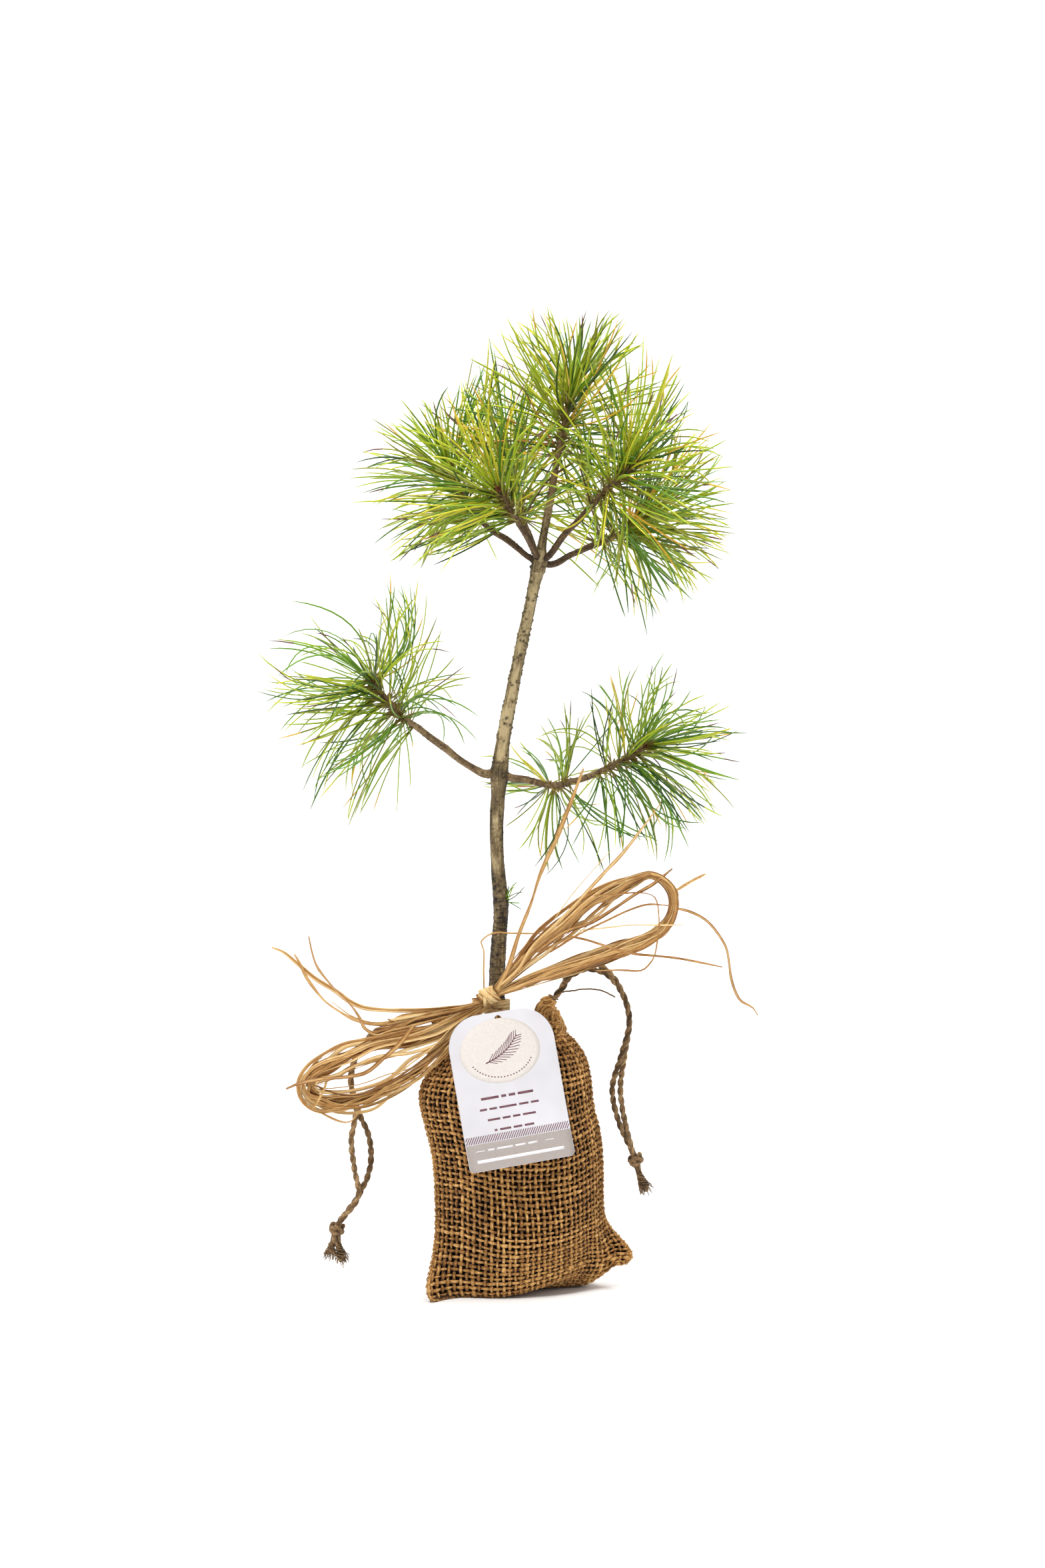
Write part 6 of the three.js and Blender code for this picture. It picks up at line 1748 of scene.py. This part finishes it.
def make_tag():
    # the card: rows of quads between its two edges, both faces and the rim
    vs = np.concatenate([-TAG["drop"] + TAG["top_r"] * (1 - np.cos(np.linspace(0, math.pi / 2, 18))), np.linspace(TAG["top_r"] - TAG["drop"] + 1.6, TAG["height"] - TAG["drop"] - TAG["bottom_r"], 34),
                         TAG["height"] - TAG["drop"] - TAG["bottom_r"] * (1 - np.sin(np.linspace(0.25, math.pi / 2, 6)))])
    half = np.maximum(card_half(vs), 0.02)
    cols = 25
    cs = np.linspace(-1, 1, cols)
    U = half[:, None] * cs[None, :]
    Vv = np.broadcast_to(vs[:, None], U.shape)
    t = TAG["thick"] / 2
    front, back = card_point(U, Vv, t), card_point(U, Vv, -t)
    R = len(vs)
    verts = np.vstack([front.reshape(-1, 3), back.reshape(-1, 3)])
    o = R * cols
    quads = []
    for i in range(R - 1):
        for j in range(cols - 1):
            a, b, c, d = i * cols + j, i * cols + j + 1, (i + 1) * cols + j + 1, (i + 1) * cols + j
            quads.append((a, d, c, b))
            quads.append((o + a, o + b, o + c, o + d))
        a, d = i * cols, (i + 1) * cols
        quads.append((a, o + a, o + d, d))
        a, d = i * cols + cols - 1, (i + 1) * cols + cols - 1
        quads.append((a, d, o + d, o + a))
    for j in range(cols - 1):
        quads.append((j, j + 1, o + j + 1, o + j))
        a, b = (R - 1) * cols + j, (R - 1) * cols + j + 1
        quads.append((a, o + a, o + b, b))
    bag = Bag()
    bag.add(verts, quads)
    m, nt, b = material("tag_card", 0.5, 0.35)
    n1 = noise(nt, 2200, 3, 0.6)
    n2 = noise(nt, 40, 2, 0.5)
    col = ramp(nt, [(0.3, (.83, .82, .84)), (0.7, (.88, .87, .89))], n2)
    nt.links.new(col, b.inputs["Base Color"])
    bump(nt, b, n1, 0.25, 0.00005)
    ob = bag.make("hang_tag_card", m, "card")
    # the punched hole
    cut = bpy.data.meshes.new("punch")
    k = 28
    th = np.arange(k) * 2 * math.pi / k
    ring0 = card_point(np.cos(th) * TAG["hole"], np.sin(th) * TAG["hole"], 3.0) * MM
    ring1 = card_point(np.cos(th) * TAG["hole"], np.sin(th) * TAG["hole"], -3.0) * MM
    faces = [[j, k + j, k + (j + 1) % k, (j + 1) % k] for j in range(k)] + [list(range(k)), list(range(2 * k - 1, k - 1, -1))]
    cut.from_pydata([tuple(p) for p in np.vstack([ring0, ring1])], [], faces)
    cutter = bpy.data.objects.new("punch", cut)
    scene.collection.objects.link(cutter)
    import bmesh
    bm = bmesh.new(); bm.from_mesh(cut); bmesh.ops.recalc_face_normals(bm, faces=bm.faces); bm.to_mesh(cut); bm.free()
    mod = ob.modifiers.new("hole", "BOOLEAN")
    mod.operation = "DIFFERENCE"; mod.solver = "EXACT"; mod.object = cutter
    bpy.context.view_layer.update()
    done = bpy.data.meshes.new_from_object(ob.evaluated_get(bpy.context.evaluated_depsgraph_get()))
    ob.modifiers.clear()
    ob.data = done
    for p in done.polygons:
        p.use_smooth = False
    bpy.data.objects.remove(cutter)
    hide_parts("hang_tag")

    def ink(name, colour, rough=0.55):
        mm_, nt_, b_ = material(name, rough, 0.3)
        nn = noise(nt_, 1400, 3, 0.6)
        lo = tuple(c * 0.94 for c in colour)
        nt_.links.new(ramp(nt_, [(0.3, lo), (0.7, colour)], nn), b_.inputs["Base Color"])
        return mm_
    beige, taupe, mauve, pale = ink("print_beige", (.905, .875, .85)), ink("print_taupe", (.70, .66, .64)), ink("print_mauve", (.47, .31, .35)), ink("print_white", (.95, .94, .95))
    t = TAG["thick"] / 2
    th = np.linspace(0, 2 * math.pi, 64, endpoint=False)
    bag = Bag()
    slab(bag, np.stack([-1.6 + 19.6 * np.cos(th), 14.6 + 15.0 * np.sin(th)], 1), t + 0.04, rings=8)
    bag.make("tag_disc", beige, "card")
    # plain band at the foot, and a hatched stripe above it
    bottom = TAG["height"] - TAG["drop"]
    rows = np.concatenate([np.linspace(bottom - 12.6, bottom - 2.3, 12), bottom - 2.2 + 2.05 * np.sin(np.linspace(0.2, 1.5, 6))])
    hw = card_half(rows) - 0.12
    bag = Bag()
    patch(bag, rows, -hw, hw, t + 0.04)
    bag.make("tag_band", taupe, "card")
    bag = Bag()
    v0, v1 = bottom - 16.2, bottom - 12.9
    for u in np.arange(-26.5, 27.0, 1.15):
        a, b_ = (u, v1), (u + 2.1, v0)
        pa, pb = np.array(a), np.array(b_)
        lim = TAG["width"] / 2 - 0.35
        if pa[0] < -lim:
            f = (-lim - pa[0]) / (pb[0] - pa[0]); pa = pa + (pb - pa) * f
        if pb[0] > lim:
            f = (lim - pa[0]) / (pb[0] - pa[0]); pb = pa + (pb - pa) * f
        if pb[0] - pa[0] > 0.3:
            slab(bag, bar(pa[0], pa[1], pb[0], pb[1], 0.42), t + 0.05)
    # plain broken rules where lines of words would stand
    rules = [(-1.9, (8.6, 2.4, 3.2, 7.6), 1.15), (-1.7, (3.4, 3.6, 8.4, 4.6, 3.8), 0.95), (-1.4, (6.0, 3.8, 3.6, 6.4), 0.95), (-1.1, (1.4, 5.4, 4.2, 4.6), 0.95)]
    for k, (shift, words, thick) in enumerate(rules):
        v = 35.4 + k * 5.0
        total = sum(words) + 1.25 * (len(words) - 1)
        u = shift - total / 2
        for wlen in words:
            patch(bag, np.array([v - thick / 2, v + thick / 2]), np.array([u, u]), np.array([u + wlen, u + wlen]), t + 0.05, cols=max(2, int(wlen / 2)))
            u += wlen + 1.25
    # a sprig of the maker-free kind: one stem with paired needles, and a ring of dots below
    stem = spline([(-9.5, 0, 19.5), (-4, 0, 17.6), (2, 0, 14.2), (7.5, 0, 8.6)], 26)
    for j in range(25):
        a, b_ = stem[j], stem[j + 1]
        slab(bag, bar(a[0], a[2], b_[0], b_[2], 0.62 - 0.012 * j), t + 0.07)
    for j in range(2, 26, 2):
        d = unit(stem[min(25, j + 1)] - stem[j - 1])
        dd = np.array([d[0], d[2]])
        for s in (-1, 1):
            ang = s * 0.62
            w = np.array([dd[0] * math.cos(ang) - dd[1] * math.sin(ang), dd[0] * math.sin(ang) + dd[1] * math.cos(ang)])
            ln = 6.4 * math.sin(math.pi * (0.18 + 0.72 * j / 26))
            a = np.array([stem[j][0], stem[j][2]])
            e = a + w * ln
            slab(bag, bar(a[0], a[1], e[0], e[1], 0.34), t + 0.07)
    for j in range(23):
        ang = math.radians(150 - 120 * j / 22)
        u, v = -1.6 + 16.4 * math.cos(ang), 13.6 + 13.2 * math.sin(ang)
        o8 = np.linspace(0, 2 * math.pi, 8, endpoint=False)
        slab(bag, np.stack([u + 0.36 * np.cos(o8), v + 0.36 * np.sin(o8)], 1), t + 0.07)
    bag.make("tag_print", mauve, "card")
    bag = Bag()
    for v, pieces, w in ((bottom - 9.3, ((-21.5, -17.0, 0.35), (-15.6, -12.4, 0.9), (-11.2, -3.4, 0.9), (-2.2, 2.8, 0.9), (4.0, 8.6, 0.9), (12.6, 17.0, 0.35)), 1), (bottom - 4.5, ((-21.6, 21.0, 1.5),), 1)):
        for a, b_, w in pieces:
            patch(bag, np.array([v - w / 2, v + w / 2]), np.array([a, a]), np.array([b_, b_]), t + 0.08, cols=max(2, int((b_ - a) / 2)))
    bag.make("tag_band_rules", pale, "card")


make_tag()

bpy.context.view_layer.update()
